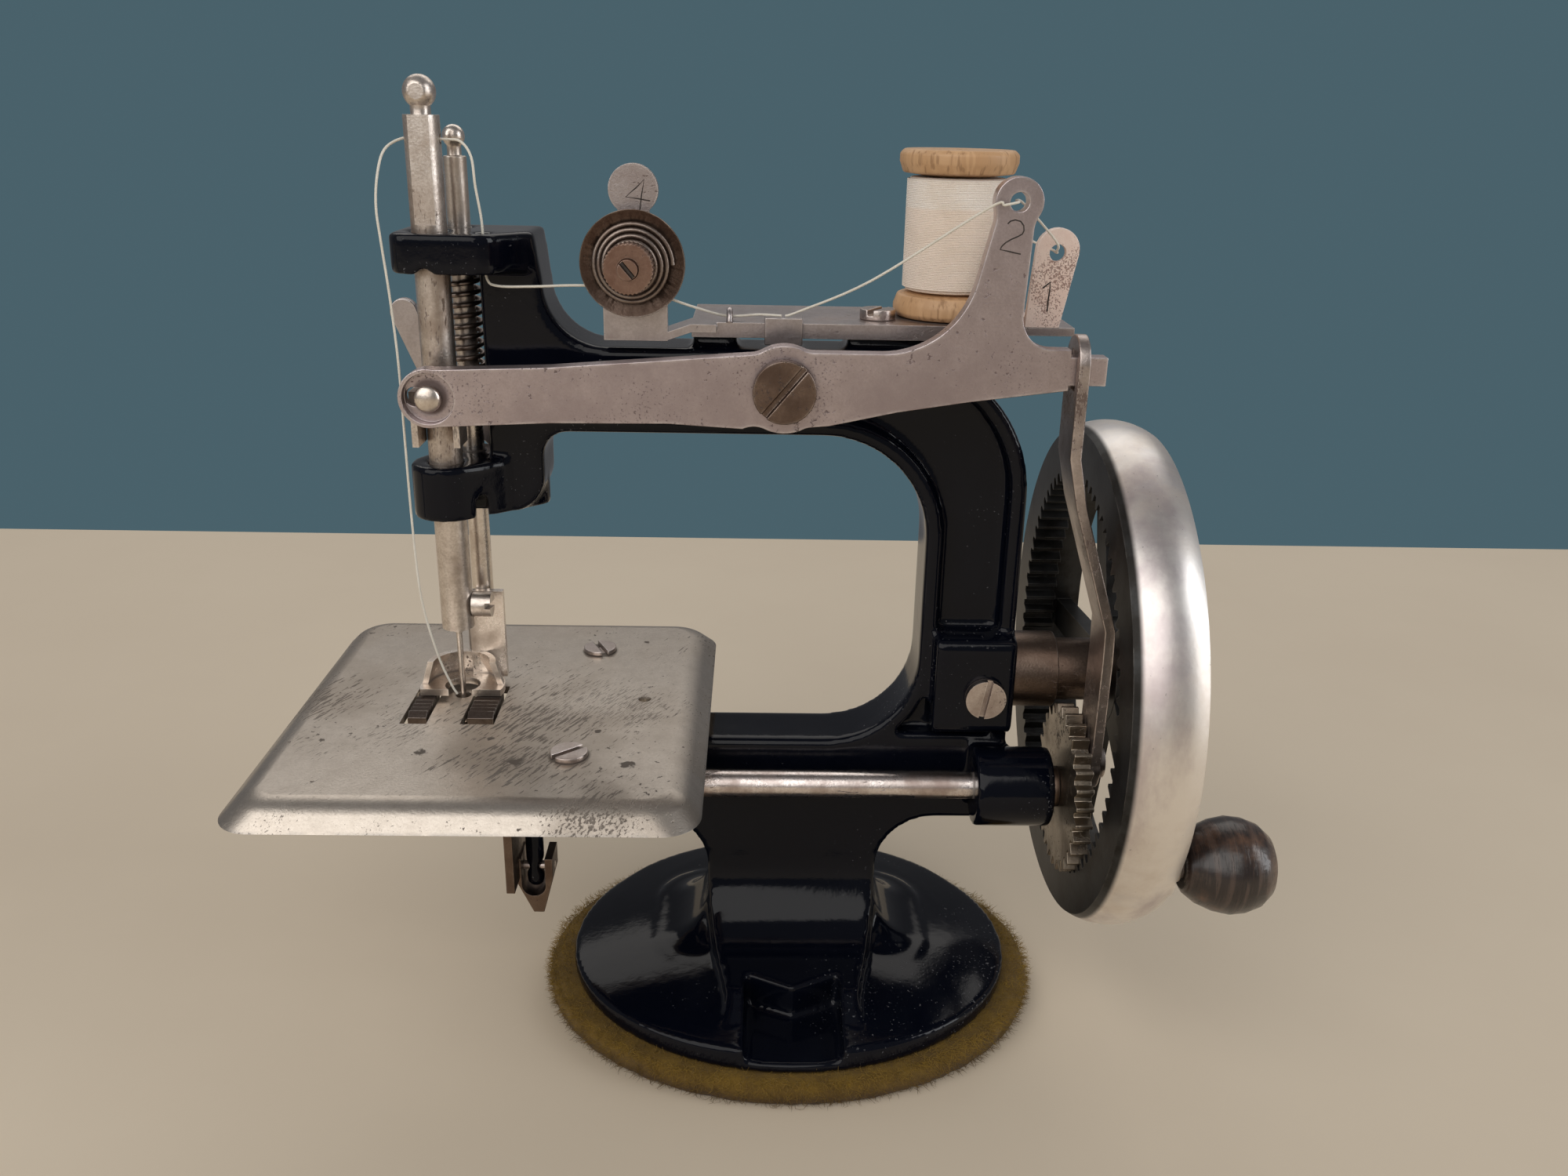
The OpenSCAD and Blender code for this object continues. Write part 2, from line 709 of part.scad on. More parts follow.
plate_screw_turns = [40, 115];
module plate_screws() {
    color("#a59c95") for (i = [0, 1])
        translate([plate_screw_x, plate_screw_ys[i], plate_z])
            slotted_screw(plate_screw_r, plate_screw_h, plate_shank_r, plate_shank_l, plate_screw_turns[i]);
}

// Thread plate and tension

block_screw_x = 12;
block_screw_turn = 60;
block_screw_r = 2.9;
block_screw_h = 1.7;
block_shank_r = 1.4;
block_shank_l = 5;
upright_w = 10;
upright_neck_w = 4.8;
eyelet_x = -12;
eyelet_r = 1.7;
eyelet_wire_r = 0.5;
ramp_l = 4;
foot_strip_w = 7;
module thread_plate() {
    strip_y = upright_front_y;
    foot_x = tension_x - upright_w / 2;
    color("#a8a29c") difference() {
        union() {
            translate([sheet_x, sheet_front_y, sheet_z]) cube([sheet_right_x - sheet_x, sheet_d, sheet_t]);
            translate([sheet_x, sheet_front_y, sheet_z - lip_h]) cube([reel_x - sheet_x, sheet_t, lip_h]);
            along_y(strip_y, foot_strip_w) polygon([
                [foot_x, tension_foot_z], [sheet_x - ramp_l, tension_foot_z],
                [sheet_x, sheet_z], [sheet_x + ramp_l, sheet_z],
                [sheet_x + ramp_l, sheet_top_z], [sheet_x, sheet_top_z],
                [sheet_x - ramp_l, tension_foot_z + sheet_t], [foot_x, tension_foot_z + sheet_t]]);
            along_y(strip_y, sheet_t) {
                polygon([[foot_x, tension_foot_z], [foot_x + upright_w, tension_foot_z],
                    [foot_x + upright_w, tension_z - upright_w / 3],
                    [tension_x + upright_neck_w / 2, tension_z + upright_w / 3],
                    [tension_x + upright_neck_w / 2, tab_z], [tension_x - upright_neck_w / 2, tab_z],
                    [tension_x - upright_neck_w / 2, tension_z + upright_w / 3],
                    [foot_x, tension_z - upright_w / 3]]);
                translate([tension_x, tab_z]) circle(r = tab_r);
            }
            translate([eyelet_x, sheet_front_y + eyelet_r, sheet_top_z]) rotate([90, 0, 90])
                rotate_extrude(angle = 180) translate([eyelet_r, 0]) circle(r = eyelet_wire_r, $fn = 24);
        }
        bar_y(tension_x, strip_y - over, tension_z, tension_stud_r + run_gap, foot_strip_w);
        translate([block_screw_x, web_y, sheet_z - over])
            cylinder(r = block_shank_r + run_gap, h = sheet_t + 2 * over);
        translate([reel_x, reel_y, sheet_z - over])
            cylinder(r = reel_pin_r + run_gap, h = sheet_t + 2 * over);
        translate([guide_foot_x, guide_foot_y, sheet_z - over])
            cylinder(r = guide_rivet_r + run_gap, h = sheet_t + 2 * over);
    }
}

module thread_plate_screw() {
    color("#b3aca5") translate([block_screw_x, web_y, sheet_top_z])
        slotted_screw(block_screw_r, block_screw_h, block_shank_r, block_shank_l, block_screw_turn);
}

clip_x = -6.4;
clip_w = 6;
clip_t = 0.9;
clip_d = 5;
module thread_clip() {
    color("#9c958f") difference() {
        translate([clip_x, sheet_front_y - clip_t - run_gap, sheet_z - lip_h - clip_t - run_gap])
            cube([clip_w, clip_d, sheet_t + lip_h + 2 * (clip_t + run_gap)]);
        translate([clip_x - over, sheet_front_y - run_gap, sheet_z - lip_h - run_gap])
            cube([clip_w + 2 * over, clip_d + over, sheet_t + lip_h + 2 * run_gap]);
    }
}

guide_x = 39.2;
guide_lean = 1.5;
guide_foot_x = guide_x - guide_lean;
guide_w = 5.4;
guide_top_w = 6.8;
guide_h = 15.4;
guide_hole_rise = 11.6;
guide_hole_z = sheet_top_z + guide_hole_rise;
guide_hole_r = 1.3;
guide_t = 1.4;
guide_foot_d = 7;
guide_rivet_share = 0.6;
guide_foot_y = sheet_front_y + guide_foot_d * guide_rivet_share;
guide_rivet_r = 1.2;
guide_rivet_h = 0.6;
module thread_guide() {
    color("#a58d85") difference() {
        union() {
            along_y(sheet_front_y, guide_t) hull() {
                translate([guide_foot_x - guide_w / 2, sheet_top_z]) square([guide_w, guide_t]);
                translate([guide_x, sheet_top_z + guide_h - guide_top_w / 2])
                    circle(d = guide_top_w, $fn = 32);
            }
            translate([guide_foot_x - guide_w / 2, sheet_front_y, sheet_top_z])
                cube([guide_w, guide_foot_d, guide_t]);
            translate([guide_foot_x, guide_foot_y, sheet_z])
                cylinder(r = guide_rivet_r, h = sheet_t + guide_t + guide_rivet_h);
        }
        bar_y(guide_x, sheet_front_y - over, guide_hole_z, guide_hole_r, guide_t + 2 * over);
    }
}

stud_tail = 1.2;
tension_head_r = 2.7;
tension_slot_turn = 50;
tension_slot_w = 0.66;
tension_slot_d = 0.84;
module tension_stud() {
    front_y = nut_y - nut_t - stud_tail;
    back_y = upright_front_y + sheet_t;
    color("#5b4236") difference() {
        union() {
            bar_y(tension_x, front_y, tension_z, tension_stud_r, back_y - front_y);
            bar_y(tension_x, back_y, tension_z, tension_head_r, stud_tail);
        }
        translate([tension_x, front_y, tension_z]) rotate([0, tension_slot_turn, 0])
            translate([-nut_r, -over, -tension_slot_w / 2])
                cube([2 * nut_r, over + tension_slot_d, tension_slot_w]);
    }
}

module tension_back_disc() {
    color("#6d5a4c") difference() {
        bar_y(tension_x, back_disc_y - disc_t, tension_z, back_disc_r, disc_t);
        bar_y(tension_x, back_disc_y - disc_t - over, tension_z, tension_stud_r + run_gap, disc_t + 2 * over);
    }
}

dish_flat_r = 4.6;
dish_in_r = dish_flat_r - disc_t / 4;
module tension_front_disc() {
    color("#6d5a4c") translate([tension_x, front_disc_y, tension_z]) rotate([90, 0, 0]) rotate_extrude()
        polygon([[tension_stud_r + run_gap, 0], [dish_flat_r, 0],
            [disc_r, disc_dish], [disc_r, disc_dish + disc_t],
            [dish_in_r, disc_t], [tension_stud_r + run_gap, disc_t]]);
}

cone_r0 = 6.1;
cone_r1 = 2.9;
cone_curls = 4;
cone_wire_r = 0.36;
curl_rings = 8;
wire_sides = 6;
cone_seat = disc_t + disc_dish * (cone_r0 + 2 * cone_wire_r - dish_in_r) / (disc_r - dish_in_r);
cone_l = front_disc_y - cone_seat - nut_y - 2 * (cone_wire_r + run_gap);
cone_points = coil(cone_r0, cone_r1, cone_l, cone_curls, curl_rings, 2 * cone_wire_r);
module tension_spring() {
    color("#74645a") translate([tension_x, front_disc_y - cone_seat - cone_wire_r - run_gap, tension_z])
        rotate([90, 0, 0]) tube(cone_points, cone_wire_r, wire_sides, [0, 0, 1]);
}

knurls = 36;
knurl_h = 0.25;
nut_lead_r = 2.6;
module tension_nut() {
    color("#7c5a49") difference() {
        along_y(nut_y - nut_t, nut_t) translate([tension_x, tension_z]) polygon([for (i = [0:2 * knurls - 1])
            (nut_r - (i % 2) * knurl_h) * [cos(180 * i / knurls), sin(180 * i / knurls)]]);
        bar_y(tension_x, nut_y - nut_t - over, tension_z, tension_stud_r + run_gap, nut_t + 2 * over);
        translate([tension_x, nut_y - nut_t + run_gap, tension_z]) rotate([90, 0, 0])
            cylinder(r1 = tension_stud_r, r2 = nut_lead_r, h = nut_lead_r - tension_stud_r);
    }
}

// Reel of thread

reel_pin_seat = 3;
module reel_pin() {
    color("#8d867f") translate([reel_x, reel_y, post_top_z - reel_pin_seat])
        cylinder(r = reel_pin_r, h = reel_h + reel_pin_seat - sheet_t);
}

flange_chamfer = 0.7;
flange_rim = 1.9;
flange_slope = 3.6;
module reel() {
    top = reel_z + reel_h;
    color("#d9b183") translate([reel_x, reel_y, 0]) rotate_extrude() polygon([
        [reel_bore_r, reel_z], [reel_r - flange_chamfer, reel_z], [reel_r, reel_z + flange_chamfer],
        [reel_r, reel_z + flange_rim], [wound_r + flange_chamfer, reel_z + flange_slope],
        [barrel_r, reel_z + reel_flange_h], [barrel_r, top - reel_flange_h],
        [wound_r + flange_chamfer, top - flange_slope], [reel_r, top - flange_rim],
        [reel_r, top - flange_chamfer], [reel_r - flange_chamfer, top], [reel_bore_r, top]]);
}

module thread_core() {
    color("#e6dcc6") translate([reel_x, reel_y, wound_z + run_gap]) difference() {
        cylinder(r = wound_r - 2 * wound_r_wire - run_gap, h = wound_h - 2 * run_gap);
        translate([0, 0, -over]) cylinder(r = barrel_r + run_gap, h = wound_h + 2 * over);
    }
}

loop_rings = 24;
wound_mid_r = wound_r - wound_r_wire;
wound_points = coil(wound_mid_r, wound_mid_r, wound_h - 4 * wound_r_wire,
    wound_loops, loop_rings, 2 * wound_r_wire);
module thread_winding() {
    color("#eee6d2") translate([reel_x, reel_y, wound_z + 2 * wound_r_wire])
        tube(wound_points, wound_r_wire, wire_sides, [0, 0, 1]);
}

// Lever

lever_rise = 5.8;
lever_end_rise = 6.9;
lever_end_drop = 0.6;
flare_left_r = 14;
flare_right_r = 5;
flare_left_x = 15;
flare_right_set = 1.9;
take_up_lean = 13;
lever_end_gap = 0.8;
lever_end_x = rod_reach - rod_t / 2 - lever_end_gap;
lever_low_shares = [[0.66, -0.2], [0.4, -0.47], [0.16, -0.81], [0, -0.9]];
lever_left_shares = [[-0.13, -0.9], [-0.33, -0.81], [-0.66, -0.84], [-1, -0.98]];
lever_left_top_shares = [[-1, 0.33], [-0.66, 0.43], [-0.22, 0.71], [0, 0.85]];
module lever_2d() {
    left = pivot_x - needle_x;
    flare_left = [flare_left_x, lever_rise + flare_left_r];
    flare_right = [take_up_x + flare_right_set + flare_right_r, lever_end_rise + flare_right_r];
    offset(r = -lever_fillet) offset(delta = lever_fillet) union() {
        circle(r = lever_boss_r);
        translate([-left, -eye_drop]) circle(r = eye_r);
        polygon([for (s = concat(lever_left_shares, lever_left_top_shares))
            [s[0] * left, s[1] * lever_boss_r]]);
        polygon(concat([[0, lever_rise]], arc(flare_left, flare_left_r, -90, -take_up_lean),
            [[take_up_x - take_up_neck_w / 2, take_up_z], [take_up_x + take_up_neck_w / 2, take_up_z]],
            arc(flare_right, flare_right_r, 180, 270),
            [[lever_end_x, lever_end_rise], [lever_end_x, lever_end_drop]],
            [for (s = lever_low_shares) [s[0] * lever_end_x, s[1] * lever_boss_r]]));
        translate([take_up_x, take_up_z]) circle(r = take_up_end_r);
    }
}

module lever() {
    color("#a59a97") difference() {
        union() {
            along_y(lever_front_y, lever_t) translate([pivot_x, pivot_z]) lever_2d();
            translate([rod_top_x - 2 * rod_t, lever_front_y, tongue_z - tongue_h / 2])
                cube([2 * rod_t + tongue_l, lever_t, tongue_h]);
        }
        bar_y(pivot_x, lever_front_y - over, pivot_z, pivot_shank_r + run_gap, lever_t + 2 * over);
        bar_y(needle_x, lever_front_y - over, eye_z, eye_recess_r, eye_recess_d + over);
        along_y(lever_front_y - over, lever_t + 2 * over) translate([needle_x, eye_z]) union() {
            circle(r = stud_shank_r + eye_slack);
            translate([-eye_slip, -stud_shank_r - eye_slack])
                square([eye_slip, 2 * (stud_shank_r + eye_slack)]);
            translate([-eye_slip, 0]) circle(r = stud_shank_r + eye_slack);
        }
        bar_y(pivot_x + take_up_x, lever_front_y - over, pivot_z + take_up_z,
            take_up_hole_r, lever_t + 2 * over);
    }
}

lever_screw_turn = 50;
module lever_screw() {
    color("#aca6a2") translate([pivot_x, lever_front_y - run_gap, pivot_z]) rotate([90, 0, 0])
        slotted_screw(lever_screw_r, lever_head_t, pivot_shank_r, lever_t + lever_screw_r, lever_screw_turn);
}

// Needle bar

bar_neck_r = 1.5;
bar_neck_l = 1;
ball_seat_share = 0.9;
bar_flat = 0.5;
bar_hole_drop = 3.4;
bar_hole_z = bar_z + bar_l - bar_hole_drop;
bar_hole_r = 0.8;
module needle_bar() {
    color("#8a807a") translate([needle_x, needle_y, 0]) difference() {
        union() {
            translate([0, 0, bar_z]) cylinder(r = bar_r, h = bar_l);
            translate([0, 0, bar_z + bar_l]) cylinder(r = bar_neck_r, h = bar_neck_l + ball_r);
            translate([0, 0, bar_z + bar_l + bar_neck_l + ball_r * ball_seat_share]) sphere(r = ball_r);
        }
        translate([-bar_r, -bar_r - over, head_top_z + over]) cube([2 * bar_r, over + bar_flat, bar_l]);
        translate([-bar_r - over, 0, bar_hole_z]) rotate([0, 90, 0])
            cylinder(r = bar_hole_r, h = 2 * (bar_r + over));
        translate([0, 0, bar_z - over]) cylinder(r = needle_shank_r + run_gap, h = needle_seat + over);
        translate([0, 0, needle_screw_z]) rotate([0, 90, 0])
            cylinder(r = needle_screw_shank_r + run_gap, h = bar_r + over);
        translate([0, -bar_r - over, eye_z]) rotate([-90, 0, 0])
            cylinder(r = stud_shank_r + run_gap, h = bar_r + over);
    }
}

yoke_leg_t = 1;
yoke_drop = 8.5;
yoke_rise = 0.4;
yoke_d = 5.4;
yoke_bridge = 5;
module needle_yoke() {
    w = 2 * (bar_r + yoke_leg_t + run_gap);
    color("#807369") difference() {
        translate([needle_x - w / 2, lever_back_y + side_gap, eye_z - yoke_drop])
            cube([w, yoke_d, yoke_drop + yoke_rise]);
        translate([needle_x, needle_y, eye_z - yoke_drop - over])
            cylinder(r = bar_r + run_gap, h = yoke_drop + yoke_rise + 2 * over);
        translate([needle_x - bar_r - run_gap, lever_back_y, eye_z - yoke_drop - over])
            cube([2 * (bar_r + run_gap), yoke_d + over, yoke_drop - yoke_bridge + over]);
        bar_y(needle_x, lever_back_y - over, eye_z, stud_shank_r + run_gap, yoke_d);
    }
}

stud_sink = 1.6;
module drive_stud() {
    color("#b4a79c") {
        bar_y(needle_x, lever_front_y, eye_z, stud_shank_r, needle_y - bar_r + stud_sink - lever_front_y);
        bar_y(needle_x, lever_front_y - run_gap, eye_z, stud_head_r, eye_recess_d - 2 * run_gap);
    }
}

needle_seat = 12;
needle_shank_r = 0.8;
needle_r = 0.5;
needle_depth = 8;
needle_tip_z = plate_z - needle_depth;
needle_point = 4;
module needle() {
    color("#b7b2ae") translate([needle_x, needle_y, 0]) {
        translate([0, 0, bar_z - over]) cylinder(r = needle_shank_r, h = needle_seat);
        translate([0, 0, needle_tip_z + needle_point])
            cylinder(r = needle_r, h = bar_z - needle_tip_z - needle_point);
        translate([0, 0, needle_tip_z]) cylinder(r1 = needle_r / 4, r2 = needle_r, h = needle_point);
    }
}

needle_screw_rise = 4;
needle_screw_z = bar_z + needle_screw_rise;
needle_screw_turn = 80;
needle_screw_r = 2.1;
needle_screw_h = 3.2;
needle_screw_shank_r = 1;
module needle_screw() {
    shank_l = bar_r - needle_shank_r - run_gap;
    color("#8f7a69") translate([needle_x + bar_r + run_gap, needle_y, needle_screw_z]) rotate([0, 90, 0])
        slotted_screw(needle_screw_r, needle_screw_h, needle_screw_shank_r, shank_l, needle_screw_turn);
}

// Presser

presser_ball_r = 1.75;
presser_ball_rise = 2.9;
presser_neck_r = 1.1;
module presser_bar() {
    color("#877b73") translate([presser_x, presser_y, 0]) {
        translate([0, 0, presser_z]) cylinder(r = presser_r, h = presser_top_z - presser_z);
        translate([0, 0, presser_top_z]) cylinder(r = presser_neck_r, h = presser_ball_rise);
        translate([0, 0, presser_top_z + presser_ball_rise]) sphere(r = presser_ball_r);
    }
}

module presser_collar() {
    color("#7b6c62") difference() {
        union() {
            translate([presser_x, presser_y, collar_z]) cylinder(r = collar_r, h = collar_h);
            bar_y(presser_x, presser_y + presser_r + run_gap, collar_z + collar_h / 2,
                lifter_pin_r, lifter_back_y + lifter_t - presser_y - presser_r);
        }
        translate([presser_x, presser_y, collar_z - over])
            cylinder(r = presser_r + run_gap, h = collar_h + 2 * over);
    }
}

spring_l = lug_top_z - collar_z - collar_h - 2 * (spring_wire_r + run_gap);
spring_points = coil(spring_r, spring_r, spring_l, spring_curls, curl_rings, 2 * spring_wire_r);
module presser_spring() {
    color("#6f5f52") translate([presser_x, presser_y, collar_z + collar_h + spring_wire_r + run_gap])
        tube(spring_points, spring_wire_r, wire_sides, [0, 0, 1]);
}

sole_r = 7.2;
sole_in_r = 3;
toe_l = 2.2;
toe_gap = 2.8;
foot_wall_t = 1;
foot_wall_h = 4.8;
foot_wall_lean = 1.4;
shank_w = 6;
shank_t = 1.3;
shank_rise = 4.5;
shank_top_z = bar_z + shank_rise;
sleeve_r = 3;
sleeve_h = 7;
module presser_foot() {
    shank_y = presser_y - presser_r - shank_t - run_gap;
    color("#a39c97") difference() {
        union() {
            translate([needle_x, needle_y, sole_z]) linear_extrude(sole_t) difference() {
                intersection() {
                    circle(r = sole_r);
                    translate([-sole_r, -toe_l]) square([2 * sole_r, toe_l + sole_r]);
                }
                circle(r = sole_in_r);
                translate([-toe_gap / 2, -sole_r]) square([toe_gap, sole_r]);
            }
            translate([needle_x, needle_y, sole_z + sole_t / 2]) rotate_extrude(angle = 180)
                polygon([[sole_r - foot_wall_t, 0], [sole_r, 0], [sole_r - foot_wall_lean, foot_wall_h],
                    [sole_r - foot_wall_lean - foot_wall_t, foot_wall_h]]);
            translate([presser_x, presser_y, presser_z - sole_t]) cylinder(r = sleeve_r, h = sleeve_h);
            translate([presser_x - shank_w / 3, shank_y, sole_z + sole_t / 2])
                cube([shank_w, shank_t, shank_top_z - sole_z - sole_t / 2]);
        }
        translate([presser_x, presser_y, presser_z]) cylinder(r = presser_r + run_gap, h = sleeve_h + over);
        translate([needle_x, needle_y, sole_z + sole_t])
            cylinder(r = bar_r + lug_wall / 3, h = shank_top_z);
    }
}

lifter_elbow = lifter_arm_l * [cos(lifter_turn), sin(lifter_turn)];
lifter_tip = lifter_elbow + lifter_leaf_l * [cos(lifter_lean), sin(lifter_lean)];
module presser_lifter() {
    color("#b1aaa4") difference() {
        along_y(lifter_back_y, lifter_t) translate(lifter_pivot) {
            circle(r = lifter_eye_r);
            hull() {
                circle(r = lifter_w / 2, $fn = 32);
                translate(lifter_elbow) circle(r = lifter_w / 2, $fn = 32);
            }
            hull() {
                translate(lifter_elbow) circle(r = lifter_w / 2, $fn = 32);
                translate(lifter_tip) circle(r = lifter_leaf_w / 2, $fn = 32);
            }
        }
        bar_y(lifter_pivot[0], lifter_back_y - over, lifter_pivot[1],
            lifter_shank_r + run_gap, lifter_t + 2 * over);
    }
}

lifter_shank_r = 1.3;
lifter_shank_l = 5;
lifter_head_r = 2.8;
lifter_head_t = 1.4;
lifter_bite = 4.5;
lifter_screw_turn = 20;
module lifter_screw() {
    shank_l = lifter_t + side_gap + lifter_bite;
    color("#938a83") translate([lifter_pivot[0], lifter_back_y + lifter_t + run_gap, lifter_pivot[1]])
        rotate([-90, 0, 0])
            slotted_screw(lifter_head_r, lifter_head_t, lifter_shank_r, shank_l, lifter_screw_turn);
}

// Handwheel and gears

set_screw_sets = [5.2, 1.4];
set_screw = [pillar_x - set_screw_sets[0], wheel_z - set_screw_sets[1]];
set_screw_turn = 80;
set_shank_r = 2;
set_head_r = 3.5;
set_head_t = 1.5;
stud_end_x = wheel_right_x + side_gap / 2;
stud_step_x = pinion_x - side_gap;
module wheel_stud() {
    stud_x = pillar_x - stud_boss_w + over + run_gap;
    color("#5d4a41") difference() {
        union() {
            bar_x(stud_x, stud_y, wheel_z, stud_r, stud_step_x - stud_x);
            bar_x(stud_x, stud_y, wheel_z, journal_r, stud_end_x - stud_x);
        }
        bar_x(stud_end_x - wheel_screw_seat, stud_y, wheel_z,
            wheel_screw_shank_r + run_gap, wheel_screw_seat + 2 * over);
    }
}

module stud_screw() {
    shank_l = stud_boss_d - stud_r - 2 * run_gap;
    color("#9b938d") translate([set_screw[0], stud_y - stud_boss_d - run_gap, set_screw[1]])
        rotate([90, 0, 0]) slotted_screw(set_head_r, set_head_t, set_shank_r, shank_l, set_screw_turn);
}

spoke_w = 7;
spoke_end_w = 5.4;
spoke_t = 3;
knob_boss_r = 5;
rim_round_r = wheel_t * wheel_t / 8 / rim_crown + rim_crown / 2;
rim_half = asin(wheel_t / 2 / rim_round_r);
wheel_profile = concat(
    [[ring_pitch_r - add, 0]],
    arc([wheel_r - rim_round_r, wheel_t / 2], rim_round_r, -rim_half, rim_half),
    [[rim_in_r, wheel_t], [rim_in_r, ring_w], [ring_pitch_r - add, ring_w]]);
knob_y = stud_y + knob_reach * cos(knob_turn);
knob_z = wheel_z + knob_reach * sin(knob_turn);
module handwheel() {
    gap_half = tooth_half + backlash / 2;
    color("#b5aea8") difference() {
        union() {
            translate([wheel_x, stud_y, wheel_z]) rotate([0, 90, 0])
                rotate_extrude($fn = 180) polygon(wheel_profile);
            bar_x(hub_x, stud_y, wheel_z, hub_r, wheel_right_x - hub_x);
            along_x(hub_x + run_gap, spoke_t) translate([stud_y, wheel_z])
                for (i = [0:spokes - 1]) rotate(knob_turn + 360 * i / spokes)
                    polygon([[0, -spoke_w / 2], [rim_in_r + over, -spoke_end_w / 2],
                        [rim_in_r + over, spoke_end_w / 2], [0, spoke_w / 2]]);
            bar_x(hub_x, knob_y, knob_z, knob_boss_r, wheel_right_x - hub_x);
        }
        along_x(wheel_x - over, ring_w + over) translate([stud_y, wheel_z]) rotate(mesh_turn)
            polygon(gear_outline(ring_teeth, ring_pitch_r - add - over, gap_half + (add + over) * tan(flank),
                ring_pitch_r + ded, gap_half - ded * tan(flank)));
        bar_x(hub_x - over, stud_y, wheel_z, journal_r + run_gap, wheel_t);
        bar_x(hub_x - over, knob_y, knob_z, knob_stud_r + run_gap, wheel_t);
    }
}

wheel_screw_seat = 8;
wheel_screw_shank_r = 2.4;
wheel_screw_r = 8.4;
wheel_screw_t = 2;
wheel_screw_bite = 6.4;
wheel_screw_turn = 30;
module wheel_screw() {
    shank_l = wheel_right_x + side_gap - stud_end_x + wheel_screw_bite;
    color("#98908a") translate([wheel_right_x + side_gap, stud_y, wheel_z]) rotate([0, 90, 0])
        slotted_screw(wheel_screw_r, wheel_screw_t, wheel_screw_shank_r, shank_l, wheel_screw_turn);
}

knob_stud_r = 2.2;
knob_gap = 2;
knob_x = wheel_right_x + knob_gap;
knob_head_r = 2.8;
knob_head_t = 0.5;
module knob_stud() {
    color("#8b817a") translate([0, knob_y, knob_z]) {
        bar_x(hub_x, 0, 0, knob_stud_r, knob_x + knob_l + run_gap - hub_x);
        bar_x(wheel_right_x, 0, 0, knob_head_r, knob_x - side_gap - wheel_right_x);
        bar_x(knob_x + knob_l + run_gap, 0, 0, knob_head_r, knob_head_t);
    }
}

knob_shares = [[0.46, 0], [0.6, 0.04], [0.78, 0.16], [0.93, 0.34], [1, 0.52], [0.97, 0.68],
    [0.86, 0.84], [0.66, 0.96], [0.5, 1]];
module knob() {
    bore_r = knob_stud_r + run_gap;
    color("#4a3527") translate([knob_x, knob_y, knob_z]) rotate([0, 90, 0]) rotate_extrude()
        polygon(concat([[bore_r, 0]], [for (s = knob_shares) [s[0] * knob_r, s[1] * knob_l]],
            [[bore_r, knob_l]]));
}

shaft_left_x = looper_x;
shaft_right_x = pinion_x + pinion_w;
module lower_shaft() {
    color("#8c8079") bar_x(shaft_left_x, shaft_y, shaft_z, shaft_r, shaft_right_x - shaft_left_x);
}

shaft_collar_r = 3.6;
module shaft_collar() {
    color("#53443c") difference() {
        bar_x(bush_x + bush_l + side_gap, shaft_y, shaft_z,
            shaft_collar_r, pinion_x - bush_x - bush_l - side_gap - run_gap);
        bar_x(bush_x, shaft_y, shaft_z, shaft_r + run_gap, bush_l + pinion_w);
    }
}

module pinion() {
    tip_half = tooth_half - backlash / 2;
    color("#a8946f") difference() {
        along_x(pinion_x, pinion_w) translate([shaft_y, shaft_z]) rotate(mesh_turn)
            polygon(gear_outline(pinion_teeth, pinion_pitch_r - ded, tip_half + ded * tan(flank),
                pinion_pitch_r + add, tip_half - add * tan(flank)));
        bar_x(pinion_x - over, shaft_y, shaft_z, shaft_r + run_gap, pinion_w + 2 * over);
    }
}

module feed_cam() {
    color("#7e7771") difference() {
        bar_x(feed_x - run_gap, shaft_y, shaft_z + cam_throw, cam_r, feed_t + 2 * run_gap);
        bar_x(feed_x - over, shaft_y, shaft_z, shaft_r + run_gap, feed_t + 2 * over);
    }
}

looper_hub_r = 4;
looper_band = 2;
module looper() {
    color("#9d958f") difference() {
        along_x(looper_x, looper_t) translate([shaft_y, shaft_z]) {
            circle(r = looper_hub_r);
            difference() {
                circle(r = looper_r);
                translate([0, looper_band]) circle(r = looper_r - looper_band / 2);
            }
            translate([-looper_band / 2, -looper_r + looper_band / 2])
                square([looper_band, looper_r - looper_band]);
        }
        bar_x(looper_x - over, shaft_y, shaft_z, shaft_r + run_gap, looper_t + 2 * over);
    }
}

